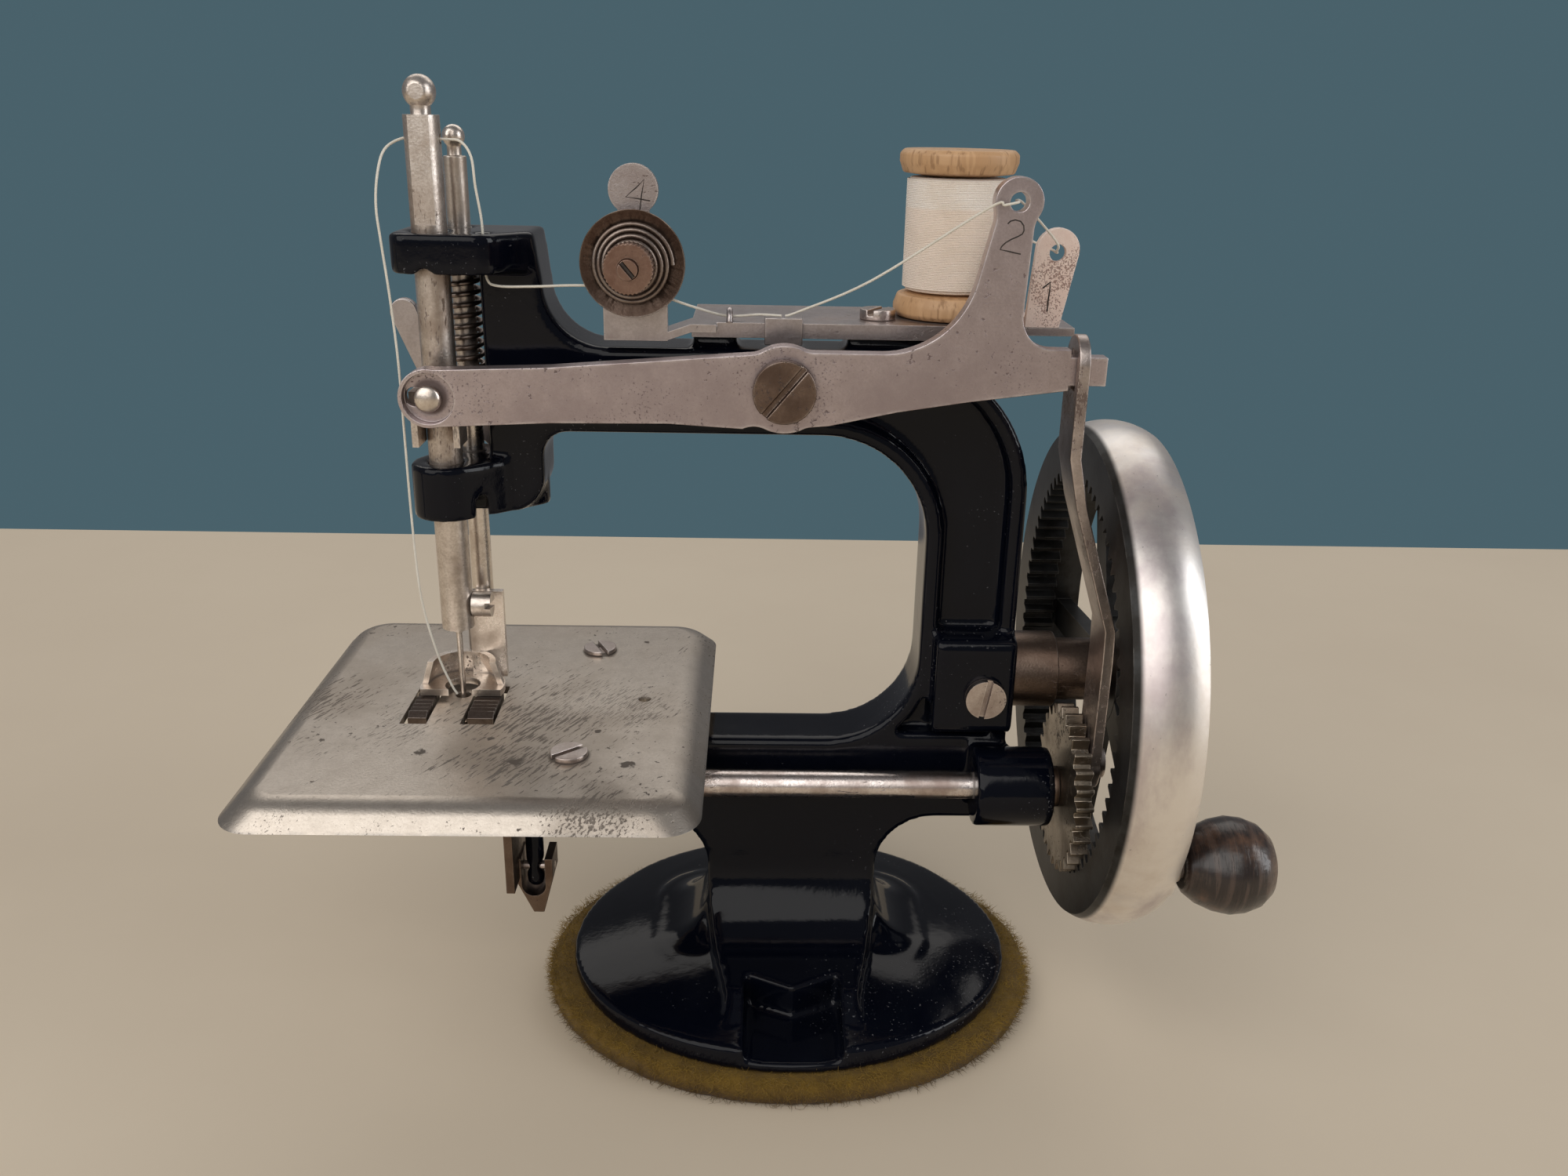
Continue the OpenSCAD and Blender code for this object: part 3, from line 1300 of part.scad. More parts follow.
claw_w = 7.4;
claw_drop = 8;
claw_top = 3;
claw_lip = 1;
claw_step = 2;
claw_tip_share = 0.75;
claw_gap = 0.4;
claw_d = 6;
feed_window_w = 11.2;
feed_window_h = 12;
feed_wall = 2.2;
shelf_t = 1.5;
shelf_l = 16;
shelf_d = 13;
shelf_reach = 10.8;
shelf_hole_r = 2.6;
module feed_lever() {
    claw_z = feed_pivot[1];
    color("#6e5848") difference() {
        union() {
            along_y(feed_pivot[0] - claw_d / 2, claw_d) translate([feed_x, claw_z])
                polygon([[0, claw_top], [claw_lip, -claw_step], [claw_w / 2, -claw_drop],
                    [claw_w * claw_tip_share, -claw_drop], [claw_w, -claw_lip], [claw_w, claw_top]]);
            along_x(feed_x, feed_t)
                translate([feed_pivot[0] - feed_window_w / 2 - feed_wall, claw_z - claw_lip])
                    square([feed_window_w + 2 * feed_wall, feed_rock_z - claw_z + claw_lip]);
            translate([feed_x - shelf_l + feed_t, needle_y - shelf_reach, feed_rock_z - shelf_t])
                cube([shelf_l, shelf_d, shelf_t]);
        }
        along_y(feed_pivot[0] - claw_d, 2 * claw_d) translate([finger_x, claw_z - finger_drop]) {
            translate([-finger_r - claw_gap, 0]) square([2 * (finger_r + claw_gap), claw_d]);
            circle(r = finger_r + claw_gap);
        }
        translate([feed_x - over, shaft_y - feed_window_w / 2, shaft_z - feed_window_h / 2])
            cube([feed_t + 2 * over, feed_window_w, feed_window_h]);
        bar_x(feed_x - over, feed_pivot[0], claw_z, feed_pin_r + run_gap, claw_w + 2 * over);
        translate([needle_x, needle_y, feed_rock_z - shelf_t - over])
            cylinder(r = shelf_hole_r, h = shelf_t + 2 * over);
    }
}

feed_teeth = 7;
feed_row_l = 9.6;
feed_tooth_h = 0.8;
feed_tooth_share = 0.999;
feed_stand = 0.5;
feed_side = 0.6;
feed_row_top_z = plate_z + feed_stand;
module feed_dog() {
    pitch = feed_row_l / feed_teeth;
    y0 = feed_slot_front_y + (feed_slot_l - feed_row_l) / 2;
    teeth = [for (t = [0:feed_teeth - 1]) for (e = [0, 1])
        [y0 + (t + feed_tooth_share * e) * pitch, feed_row_top_z - (1 - e) * feed_tooth_h]];
    color("#8d847d") for (i = [0, 1])
        along_x(feed_slot_xs[i] + feed_side, feed_slot_ws[i] - 2 * feed_side)
            polygon(concat([[y0, feed_rock_z]], teeth, [[y0 + feed_row_l, feed_rock_z]]));
}

feed_pin_r = 0.8;
module feed_pin() {
    color("#8b827b") bar_x(feed_x, feed_pivot[0], feed_pivot[1], feed_pin_r, claw_w);
}

rod_jog_shares = [[0, 1], [0, 0.76], [0.2, 0.66], [0.98, 0.39], [1, 0.32], [1, 0]];
rod_slack = 0.8;
rod_low_z = crank_z - rod_end_r;
rod_left_x = rod_top_x - rod_t / 2;
module connecting_rod() {
    edge = [for (s = rod_jog_shares)
        [rod_left_x + s[0] * (rod_x - rod_left_x), rod_low_z + s[1] * (rod_top_z - rod_low_z)]];
    color("#9b8d85") difference() {
        intersection() {
            along_y(rod_y - rod_end_r - over, 2 * (rod_end_r + over))
                polygon(concat(edge, [for (i = [len(edge) - 1:-1:0]) edge[i] + [rod_t, 0]]));
            along_x(rod_left_x - over, rod_x - rod_left_x + rod_t + 2 * over) union() {
                translate([crank_y, crank_z]) circle(r = rod_end_r);
                translate([rod_y - rod_w / 2, crank_z]) square([rod_w, rod_top_z - crank_z - rod_w / 2]);
                translate([rod_y, rod_top_z - rod_w / 2]) circle(r = rod_w / 2);
            }
        }
        translate([rod_left_x - over, lever_front_y - side_gap, tongue_z - tongue_h / 2 - rod_slack])
            cube([rod_t + 2 * over, lever_t + 2 * side_gap, tongue_h + 2 * rod_slack]);
        bar_x(rod_x - over, crank_y, crank_z, crank_shank_r + run_gap, rod_t + 2 * over);
    }
}

crank_shank_r = 2;
crank_head_t = 1.2;
crank_screw_turn = 10;
module crank_screw() {
    shank_l = rod_t + 2 * run_gap + side_gap / 2;
    color("#8f857e") translate([rod_x + rod_t + run_gap, crank_y, crank_z]) rotate([0, 90, 0])
        slotted_screw(crank_screw_r, crank_head_t, crank_shank_r, shank_l, crank_screw_turn);
}

// Thread, from the reel through the guides to the needle

eye_point = [pivot_x + take_up_x, (lever_front_y + lever_back_y) / 2, pivot_z + take_up_z];
guide_point = [guide_x, sheet_front_y + guide_t / 2, guide_hole_z];
thread_sides = 8;
thread_ref = [0.31, 0.25, 0.92];
needle_ref = [1, 0.2, 0];
lay_r = wound_r + 2 * thread_r;
lay_step = 18;
lay_z = 140.4;
take_up_route = concat(
    [for (a = [90:-lay_step:0]) [reel_x + lay_r * cos(a), reel_y + lay_r * sin(a), lay_z]],
    [[33.4, 4.8, 140.2], [35.2, 2.6, 139.2], guide_point + [-0.3, 3, 0.2], guide_point + [0, 1.6, 0],
    guide_point, guide_point + [-0.4, -1.6, 0.4], guide_point + [-1, -3, 2], [32.6, -7.4, 145],
    eye_point + [0.2, 2.4, 0], eye_point, eye_point + [-0.4, -2, 0], eye_point + [-2.4, -2.5, -0.4],
    eye_point + [-4.8, -1.8, -1], [10, -8, 133.5], [-1, -5.4, 128.2], [-3.2, -5, 127.4]]);
bar_route = [[-3.8, -5, 127.4], [-7.4, -3.4, 127.3], [-10.6, -1.9, 126.8], [-13.4, -2.4, 127],
    [-18, -7.1, 129], [-26, -7.1, 131.4], [-34.6, -7.1, 131.8], [-42, -7, 131.5], [-47.6, -6.3, 131.4],
    [-49.3, -6, 132.4], [-49.5, -6, 136], [-49.6, -6, 141], [-50.2, -6.2, 146], [-50.6, -6, 150.2],
    [-52.2, -5, 152.3], [-54.4, -4.4, 152.6], [-57.7, -4.4, 152.6]];
needle_way = [[-0.3, 0, 152.6], [-3, -0.2, 152.6], [-5.4, -1.6, 151], [-6.2, -3.6, 147.5], [-6.4, -5, 143],
    [-6, -5.4, 138], [-5.4, -5.4, 130], [-5, -5.2, 120], [-5, -5.2, 108], [-5, -5.2, 96], [-4.8, -5, 84],
    [-4.2, -4.4, 77], [-2.8, -3.2, 69], [-1.4, -1.8, 63.5], [-0.8, -1.2, 61.8]];
needle_route = [for (p = needle_way) p + [needle_x, needle_y, 0]];
module thread_take_up() {
    color("#eee6d2") tube(take_up_route, thread_r, thread_sides, thread_ref);
}
module thread_bar() {
    color("#eee6d2") tube(bar_route, thread_r, thread_sides, thread_ref);
}
module thread_needle() {
    color("#eee6d2") tube(needle_route, thread_r, thread_sides, needle_ref);
}

union() {
    echo(winding_gap = coil_gap(wound_points, loop_rings, wound_r_wire));
    echo(presser_spring_gap = coil_gap(spring_points, curl_rings, spring_wire_r));
    echo(tension_spring_gap = coil_gap(cone_points, curl_rings, cone_wire_r));
}

frame();
felt_pad();
cloth_plate();
plate_screws();
thread_plate();
thread_plate_screw();
thread_clip();
thread_guide();
tension_stud();
tension_back_disc();
tension_front_disc();
tension_spring();
tension_nut();
reel_pin();
reel();
thread_core();
thread_winding();
lever();
lever_screw();
needle_bar();
needle_yoke();
drive_stud();
needle();
needle_screw();
presser_bar();
presser_collar();
presser_spring();
presser_foot();
presser_lifter();
lifter_screw();
wheel_stud();
stud_screw();
handwheel();
wheel_screw();
knob_stud();
knob();
lower_shaft();
shaft_collar();
pinion();
feed_cam();
looper();
feed_lever();
feed_dog();
feed_pin();
connecting_rod();
crank_screw();
thread_take_up();
thread_bar();
thread_needle();
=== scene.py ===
import json
import math
import random

import bmesh
import bpy
from mathutils import Matrix, Vector


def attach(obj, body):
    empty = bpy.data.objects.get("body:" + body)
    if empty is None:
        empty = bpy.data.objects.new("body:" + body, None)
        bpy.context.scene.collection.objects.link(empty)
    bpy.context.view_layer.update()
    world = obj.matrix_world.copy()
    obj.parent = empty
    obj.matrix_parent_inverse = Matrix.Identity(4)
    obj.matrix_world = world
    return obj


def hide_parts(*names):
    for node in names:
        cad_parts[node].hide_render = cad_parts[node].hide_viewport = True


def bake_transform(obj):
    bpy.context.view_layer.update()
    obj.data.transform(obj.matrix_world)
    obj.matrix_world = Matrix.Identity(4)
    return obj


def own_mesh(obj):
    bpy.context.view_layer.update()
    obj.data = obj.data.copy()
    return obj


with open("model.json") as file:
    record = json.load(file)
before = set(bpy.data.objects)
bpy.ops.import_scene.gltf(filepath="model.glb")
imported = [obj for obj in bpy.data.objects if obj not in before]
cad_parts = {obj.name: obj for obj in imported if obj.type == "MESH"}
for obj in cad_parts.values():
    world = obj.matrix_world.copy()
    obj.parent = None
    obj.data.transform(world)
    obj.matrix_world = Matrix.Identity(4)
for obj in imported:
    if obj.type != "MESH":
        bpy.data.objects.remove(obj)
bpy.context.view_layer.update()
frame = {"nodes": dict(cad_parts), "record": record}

scene = bpy.context.scene
scene.view_settings.view_transform = "Standard"
mm = 0.001


def linkNew(name, data):
    piece = bpy.data.objects.new(name, data)
    scene.collection.objects.link(piece)
    return piece


def metres(point):
    return [c * mm for c in point]


# camera at the photograph's place
cameraSet = {
    "focal": 1637, "frameWidth": 2000, "sensor": 36, "clip": 0.01,
    "pitch": 20.4, "yaw": 1.4, "roll": 1.2, "place": (-7.5, -208.7, 157.6),
}


def placeCamera(s):
    pitch, yaw, roll = (math.radians(s[k]) for k in ("pitch", "yaw", "roll"))
    flat = math.cos(pitch)
    ahead = Vector((math.sin(yaw) * flat, math.cos(yaw) * flat, -math.sin(pitch)))
    level = Vector((math.cos(yaw), -math.sin(yaw), 0))
    upright = level.cross(ahead)
    right = math.cos(roll) * level + math.sin(roll) * upright
    up = -math.sin(roll) * level + math.cos(roll) * upright
    cam = linkNew("photoCamera", bpy.data.cameras.new("photoCamera"))
    cam.data.sensor_width = s["sensor"]
    cam.data.lens = s["focal"] / s["frameWidth"] * s["sensor"]
    cam.data.clip_start = s["clip"]
    turned = Matrix((right, up, -ahead)).transposed().to_4x4()
    cam.matrix_world = Matrix.Translation(Vector(s["place"]) * mm) @ turned
    scene.camera = cam


placeCamera(cameraSet)
print("camera placed")


# shader groups that several finishes share
number = "NodeSocketFloat"
triple = "NodeSocketVector"


def newGroup(name, inputs, outputs):
    group = bpy.data.node_groups.new(name, "ShaderNodeTree")
    for label, kind, value in inputs:
        made = group.interface.new_socket(name=label, in_out="INPUT", socket_type=kind)
        made.default_value = value
    for label in outputs:
        group.interface.new_socket(name=label, in_out="OUTPUT", socket_type=number)
    return group, group.nodes.new("NodeGroupInput"), group.nodes.new("NodeGroupOutput")


def addNode(tree, kind, **settings):
    node = tree.nodes.new(kind)
    for key, value in settings.items():
        if key.startswith("in_"):
            node.inputs[key[3:].replace("_", " ")].default_value = value
        else:
            setattr(node, key, value)
    return node


def plug(tree, socket, value):
    if isinstance(value, (int, float)):
        socket.default_value = value
    else:
        tree.links.new(value, socket)


def mathNode(tree, operation, a, b=None, clamp=False):
    node = addNode(tree, "ShaderNodeMath", operation=operation, use_clamp=clamp)
    plug(tree, node.inputs[0], a)
    if b is not None:
        plug(tree, node.inputs[1], b)
    return node.outputs[0]


def rangeNode(tree, value, low, high):
    node = addNode(tree, "ShaderNodeMapRange", interpolation_type="SMOOTHSTEP")
    plug(tree, node.inputs["Value"], value)
    plug(tree, node.inputs["From Min"], low)
    plug(tree, node.inputs["From Max"], high)
    return node.outputs["Result"]


def turnedPlace(group, come):  # object coordinates, turned and then drawn out
    coords = group.nodes.new("ShaderNodeTexCoord")
    mapping = addNode(group, "ShaderNodeMapping", vector_type="TEXTURE")
    group.links.new(coords.outputs["Object"], mapping.inputs["Vector"])
    group.links.new(come.outputs["Stretch"], mapping.inputs["Scale"])
    group.links.new(come.outputs["Turn"], mapping.inputs["Rotation"])
    return coords.outputs["Object"], mapping.outputs[0]


drawn = [("Stretch", triple, (1, 1, 1)), ("Turn", triple, (0, 0, 0))]
# ranges of noise that become masks, and how a pit's edge and a pore's size are set
groupSet = {"gathered": (0.35, 0.7), "pitLevel": 0.78, "pitSoft": 0.06, "broken": (0.35, 0.6),
            "wave": (-1, 1), "pores": (0.56, 0.7), "poreScale": 7}


def makePatchGroup():  # cloudy patches, as tarnish, handling or damp leave them
    group, come, go = newGroup("cloudyPatches", [("Scale", number, 60), ("From", number, 0.45),
        ("To", number, 0.65)] + drawn, ("Mask", "Height"))
    place = turnedPlace(group, come)[1]
    noise = addNode(group, "ShaderNodeTexNoise", in_Detail=7.0, in_Roughness=0.62)
    link = group.links.new
    link(place, noise.inputs["Vector"])
    link(come.outputs["Scale"], noise.inputs["Scale"])
    mask = rangeNode(group, noise.outputs["Fac"], come.outputs["From"], come.outputs["To"])
    link(mask, go.inputs["Mask"])
    link(noise.outputs["Fac"], go.inputs["Height"])
    return group


def makePitGroup():  # small corroded marks that gather here and there
    group, come, go = newGroup("corrodedPits", [("Scale", number, 900), ("Amount", number, 0.15),
        ("Gather", number, 60)] + drawn, ("Mask",))
    plain, place = turnedPlace(group, come)
    fine = addNode(group, "ShaderNodeTexNoise", in_Detail=3.0, in_Roughness=0.6)
    broad = addNode(group, "ShaderNodeTexNoise", in_Detail=4.0)
    link = group.links.new
    link(place, fine.inputs["Vector"])
    link(come.outputs["Scale"], fine.inputs["Scale"])
    link(plain, broad.inputs["Vector"])
    link(come.outputs["Gather"], broad.inputs["Scale"])
    gathered = rangeNode(group, broad.outputs["Fac"], *groupSet["gathered"])
    lowered = mathNode(group, "MULTIPLY", come.outputs["Amount"], gathered)
    edge = mathNode(group, "SUBTRACT", groupSet["pitLevel"], lowered)
    inside = mathNode(group, "ADD", edge, groupSet["pitSoft"])
    link(rangeNode(group, fine.outputs["Fac"], edge, inside), go.inputs["Mask"])
    return group


def makeEdgeWearAndHighlightGroup():  # where an edge is rubbed, and where the lever and the feed dog get painted highlights along their edges
    group, come, go = newGroup("rubbedAndHighlitEdges", [("Width", number, 0.0006), ("Gain", number, 4),
        ("Break", number, 300)], ("Mask",))
    bevel = addNode(group, "ShaderNodeBevel", samples=4)
    geometry = group.nodes.new("ShaderNodeNewGeometry")
    dot = addNode(group, "ShaderNodeVectorMath", operation="DOT_PRODUCT")
    coords = group.nodes.new("ShaderNodeTexCoord")
    noise = addNode(group, "ShaderNodeTexNoise", in_Detail=4.0)
    link = group.links.new
    link(come.outputs["Width"], bevel.inputs["Radius"])
    link(bevel.outputs["Normal"], dot.inputs[0])
    link(geometry.outputs["Normal"], dot.inputs[1])
    link(coords.outputs["Object"], noise.inputs["Vector"])
    link(come.outputs["Break"], noise.inputs["Scale"])
    bent = mathNode(group, "SUBTRACT", 1, dot.outputs["Value"])
    gained = mathNode(group, "MULTIPLY", bent, come.outputs["Gain"], clamp=True)
    broken = rangeNode(group, noise.outputs["Fac"], *groupSet["broken"])
    link(mathNode(group, "MULTIPLY", gained, broken), go.inputs["Mask"])
    return group


def makeGrainGroup():  # growth rings and pores of turned wood about a centre
    group, come, go = newGroup("turnedGrain", [("Centre", triple, (0, 0, 0)), ("Scale", number, 300),
        ("Pull", triple, (1, 1, 0.08)), ("Rings", number, 34)], ("Rings", "Pores"))
    coords = group.nodes.new("ShaderNodeTexCoord")
    centred = addNode(group, "ShaderNodeVectorMath", operation="SUBTRACT")
    pulled = addNode(group, "ShaderNodeVectorMath", operation="MULTIPLY")
    noise = addNode(group, "ShaderNodeTexNoise", in_Detail=5.0, in_Distortion=0.6)
    fine = addNode(group, "ShaderNodeTexNoise", in_Detail=3.0)
    link = group.links.new
    link(coords.outputs["Object"], centred.inputs[0])
    link(come.outputs["Centre"], centred.inputs[1])
    link(centred.outputs[0], pulled.inputs[0])
    link(come.outputs["Pull"], pulled.inputs[1])
    link(pulled.outputs[0], noise.inputs["Vector"])
    link(pulled.outputs[0], fine.inputs["Vector"])
    link(come.outputs["Scale"], noise.inputs["Scale"])
    link(mathNode(group, "MULTIPLY", come.outputs["Scale"], groupSet["poreScale"]), fine.inputs["Scale"])
    wave = mathNode(group, "SINE", mathNode(group, "MULTIPLY", noise.outputs["Fac"], come.outputs["Rings"]))
    link(rangeNode(group, wave, *groupSet["wave"]), go.inputs["Rings"])
    link(rangeNode(group, fine.outputs["Fac"], *groupSet["pores"]), go.inputs["Pores"])
    return group


def makeCreviceShadeGroup():  # painted shade from ambient occlusion in slots, seams and inner corners, standing also for settled dirt
    group, come, go = newGroup("creviceShadeAndDirt", [("Reach", number, 0.0011), ("From", number, 0.32),
        ("To", number, 0.75)], ("Mask",))
    shade = addNode(group, "ShaderNodeAmbientOcclusion", samples=8)
    group.links.new(come.outputs["Reach"], shade.inputs["Distance"])
    covered = mathNode(group, "SUBTRACT", 1, shade.outputs["AO"])
    mask = rangeNode(group, covered, come.outputs["From"], come.outputs["To"])
    group.links.new(mask, go.inputs["Mask"])
    return group


groups = {"patches": makePatchGroup(), "pits": makePitGroup(), "edges": makeEdgeWearAndHighlightGroup(),
          "grain": makeGrainGroup(), "shadeAndDirt": makeCreviceShadeGroup()}


def placeGroup(tree, which, **values):
    node = tree.nodes.new("ShaderNodeGroup")
    node.node_tree = groups[which]
    for label, value in values.items():
        node.inputs[label].default_value = value
    return node.outputs


def cloudy(tree, spread, **more):  # patches by their scale and range
    scale, low, high = spread
    return placeGroup(tree, "patches", Scale=scale, From=low, To=high, **more)


def mixColour(tree, mask, under, over):
    node = addNode(tree, "ShaderNodeMix", data_type="RGBA")
    plug(tree, node.inputs["Factor"], mask)
    for label, value in (("A", under), ("B", over)):
        socket = next(s for s in node.inputs if s.name == label and s.type == "RGBA")
        if isinstance(value, tuple):
            socket.default_value = (*value, 1)
        else:
            tree.links.new(value, socket)
    return next(s for s in node.outputs if s.type == "RGBA")


def mixValue(tree, mask, under, over):
    node = addNode(tree, "ShaderNodeMix", data_type="FLOAT")
    plug(tree, node.inputs["Factor"], mask)
    plug(tree, node.inputs[2], under)
    plug(tree, node.inputs[3], over)
    return node.outputs[0]


def part(tree, mask, share):  # a mask at part strength
    return mathNode(tree, "MULTIPLY", mask, share)


def bumpFrom(tree, height, strength, distance, normal=None):
    bump = addNode(tree, "ShaderNodeBump", in_Strength=strength, in_Distance=distance)
    tree.links.new(height, bump.inputs["Height"])
    if normal is not None:
        tree.links.new(normal, bump.inputs["Normal"])
    return bump.outputs["Normal"]


def objectPlace(tree):
    parts = tree.nodes.new("ShaderNodeSeparateXYZ")
    coords = tree.nodes.new("ShaderNodeTexCoord")
    tree.links.new(coords.outputs["Object"], parts.inputs[0])
    return parts.outputs


def newMaterial(name):
    made = bpy.data.materials.new(name)
    made.use_nodes = True
    shader = next(n for n in made.node_tree.nodes if n.type == "BSDF_PRINCIPLED")
    return made, made.node_tree, shader


# metals: colours, layers of marks as scale, amount, gather, stretch, turn and strength,
# and spots and painted shade rings as a place and a size
slant = (0, 0, math.radians(-28))
even = (1, 1, 1)
flat = (0, 0, 0)
metalSet = {
    "clothPlateNickel": {
        "base": (0.6, 0.54, 0.475), "tarnish": (0.44, 0.385, 0.33), "rust": (0.085, 0.066, 0.052),
        "edge": (0.34, 0.315, 0.29), "rough": (0.33, 0.46), "patch": 42, "range": (0.42, 0.66), "rub": 0.0008,
        "marks": [(2300, 0.29, 40, (1, 7, 1), slant, 0.7), (4200, 0.31, 25, (1, 9, 1), slant, 0.5),
                  (800, 0.17, 60, even, flat, 0.85)],
        "spots": [(-60.3, -26, 61, 1.1), (-44.7, -28.8, 61, 1.5), (-27.1, -29.3, 61, 1.3),
                  (-33, -18, 61, 0.7), (-50, -21, 61, 0.7), (-28, 20, 61, 0.6)],
        # painted shade: dark rings round the plate screws' heads
        "rings": [(-36.6, -26.5, 61, 3.6), (-36.6, 15.8, 61, 3.6)]},
    # lever: its bright edge colour is rubbed metal and also a painted highlight along its edges
    "leverSteel": {
        "base": (0.55, 0.47, 0.475), "tarnish": (0.37, 0.3, 0.295), "rust": (0.12, 0.08, 0.068),
        "edge": (0.95, 0.9, 0.88), "rough": (0.3, 0.44), "patch": 50, "range": (0.42, 0.72), "rub": 0.0009,
        "marks": [(2600, 0.23, 55, even, flat, 0.7), (1100, 0.16, 45, even, flat, 0.8)], "metal": 0.9,
        # painted shade: a dark ring in the recess round the drive stud
        "rings": [(-58, -13.4, 115.1, 3.5)]},
    "barSteel": {
        "base": (0.82, 0.75, 0.69), "tarnish": (0.38, 0.3, 0.245), "rust": (0.13, 0.085, 0.06),
        "edge": (0.85, 0.79, 0.74), "rough": (0.32, 0.48), "patch": 75, "range": (0.44, 0.66), "rub": 0.0005,
        "marks": [(1500, 0.26, 75, (1, 1, 4), flat, 0.75), (3400, 0.27, 60, (1, 1, 5), flat, 0.55)],
        # painted shade: a dark ring round the drive stud, where the lever's eye covers the bar
        "rings": [(-58, -8.6, 115.1, 4.6)]},
    "footSteel": {
        "base": (0.86, 0.79, 0.725), "tarnish": (0.54, 0.455, 0.385), "rust": (0.12, 0.08, 0.06),
        "edge": (0.88, 0.83, 0.77), "rough": (0.26, 0.4), "patch": 110, "range": (0.46, 0.7), "rub": 0.0005,
        "marks": [(1800, 0.2, 75, (1, 1, 2), flat, 0.8)]},
    "sheetSteel": {
        "base": (0.56, 0.51, 0.505), "tarnish": (0.36, 0.305, 0.29), "rust": (0.11, 0.078, 0.064),
        "edge": (0.9, 0.85, 0.81), "rough": (0.3, 0.42), "patch": 80, "range": (0.42, 0.68), "rub": 0.0005,
        "marks": [(2200, 0.17, 80, (2, 1, 1), flat, 0.75), (900, 0.15, 70, even, flat, 0.75)]},
    "guideSteel": {
        "base": (0.97, 0.82, 0.74), "tarnish": (0.82, 0.64, 0.56), "rust": (0.2, 0.1, 0.075),
        "edge": (0.92, 0.86, 0.82), "rough": (0.36, 0.48), "patch": 150, "range": (0.4, 0.66), "rub": 0.0005,
        "marks": [(3900, 0.3, 130, even, flat, 0.75), (1700, 0.13, 150, even, flat, 0.7)], "metal": 0.35},
    "pivotSteel": {
        "base": (0.21, 0.152, 0.124), "tarnish": (0.125, 0.085, 0.066), "rust": (0.05, 0.03, 0.022),
        "edge": (0.8, 0.72, 0.66), "rough": (0.26, 0.4), "patch": 170, "range": (0.42, 0.66), "rub": 0.0006,
        "marks": [(2200, 0.22, 150, even, flat, 0.8)]},
    "screwSteel": {
        "base": (0.62, 0.55, 0.515), "tarnish": (0.41, 0.33, 0.29), "rust": (0.13, 0.08, 0.06),
        "edge": (0.86, 0.8, 0.76), "rough": (0.28, 0.42), "patch": 160, "range": (0.42, 0.68), "rub": 0.0005,
        "marks": [(2200, 0.19, 150, even, flat, 0.8)]},
    "tensionSteel": {
        "base": (0.19, 0.138, 0.112), "tarnish": (0.11, 0.074, 0.057), "rust": (0.06, 0.036, 0.026),
        "edge": (0.62, 0.56, 0.5), "rough": (0.3, 0.46), "patch": 150, "range": (0.4, 0.68), "rub": 0.0004,
        "marks": [(2400, 0.18, 120, even, flat, 0.7)]},
    "coilSteel": {
        "base": (0.32, 0.27, 0.24), "tarnish": (0.2, 0.15, 0.125), "rust": (0.09, 0.055, 0.042),
        "edge": (0.5, 0.44, 0.4), "rough": (0.28, 0.42), "patch": 260, "range": (0.4, 0.66), "rub": 0.0002,
        "marks": [(3000, 0.15, 150, even, flat, 0.6)]},
    "nutSteel": {
        "base": (0.30, 0.195, 0.15), "tarnish": (0.19, 0.11, 0.08), "rust": (0.1, 0.055, 0.038),
        "edge": (0.6, 0.5, 0.44), "rough": (0.34, 0.5), "patch": 200, "range": (0.4, 0.66), "rub": 0.0004,
        "marks": [(2400, 0.18, 150, even, flat, 0.7)]},
    "rodSteel": {
        "base": (0.58, 0.51, 0.48), "tarnish": (0.33, 0.27, 0.24), "rust": (0.11, 0.07, 0.052),
        "edge": (0.88, 0.8, 0.75), "rough": (0.32, 0.46), "patch": 90, "range": (0.42, 0.68), "rub": 0.0005,
        "marks": [(2400, 0.29, 90, (1, 1, 2), flat, 0.8), (1200, 0.17, 90, even, flat, 0.8)]},
    "studSteel": {
        "base": (0.2, 0.148, 0.118), "tarnish": (0.115, 0.08, 0.062), "rust": (0.06, 0.037, 0.027),
        "edge": (0.36, 0.3, 0.26), "rough": (0.34, 0.46), "patch": 110, "range": (0.4, 0.66), "rub": 0.0004,
        "marks": [(1900, 0.2, 90, (3, 1, 1), flat, 0.8)]},
    "shaftSteel": {
        "base": (0.9, 0.83, 0.8), "tarnish": (0.42, 0.33, 0.295), "rust": (0.1, 0.066, 0.05),
        "edge": (0.6, 0.54, 0.5), "rough": (0.24, 0.4), "patch": 90, "range": (0.42, 0.66), "rub": 0.0004,
        "marks": [(1500, 0.23, 60, (5, 1, 1), flat, 0.8), (3200, 0.2, 60, (4, 1, 1), flat, 0.5)]},
    "pinionSteel": {
        "base": (0.37, 0.315, 0.25), "tarnish": (0.21, 0.17, 0.13), "rust": (0.045, 0.034, 0.027),
        "edge": (0.62, 0.55, 0.47), "rough": (0.3, 0.44), "patch": 130, "range": (0.4, 0.66), "rub": 0.0004,
        "marks": [(1600, 0.25, 100, even, flat, 0.85), (700, 0.18, 120, even, flat, 0.8)]},
    # feed dog: painted highlights on the tooth peaks against a dark body that stands also for painted shade
    # between the teeth
    "feedSteelPaintedPeaks": {
        "base": (0.17, 0.135, 0.115), "tarnish": (0.1, 0.075, 0.062), "rust": (0.05, 0.034, 0.026),
        "edge": (0.85, 0.78, 0.71), "rough": (0.3, 0.42), "patch": 300, "range": (0.4, 0.66), "rub": 0.0003,
        "marks": [(2600, 0.18, 150, even, flat, 0.7)]},
    "clawSteel": {
        "base": (0.2, 0.145, 0.112), "tarnish": (0.12, 0.08, 0.06), "rust": (0.07, 0.042, 0.03),
        "edge": (0.42, 0.35, 0.3), "rough": (0.3, 0.44), "patch": 120, "range": (0.4, 0.66), "rub": 0.0004,
        "marks": [(1900, 0.19, 90, even, flat, 0.8)]},
}


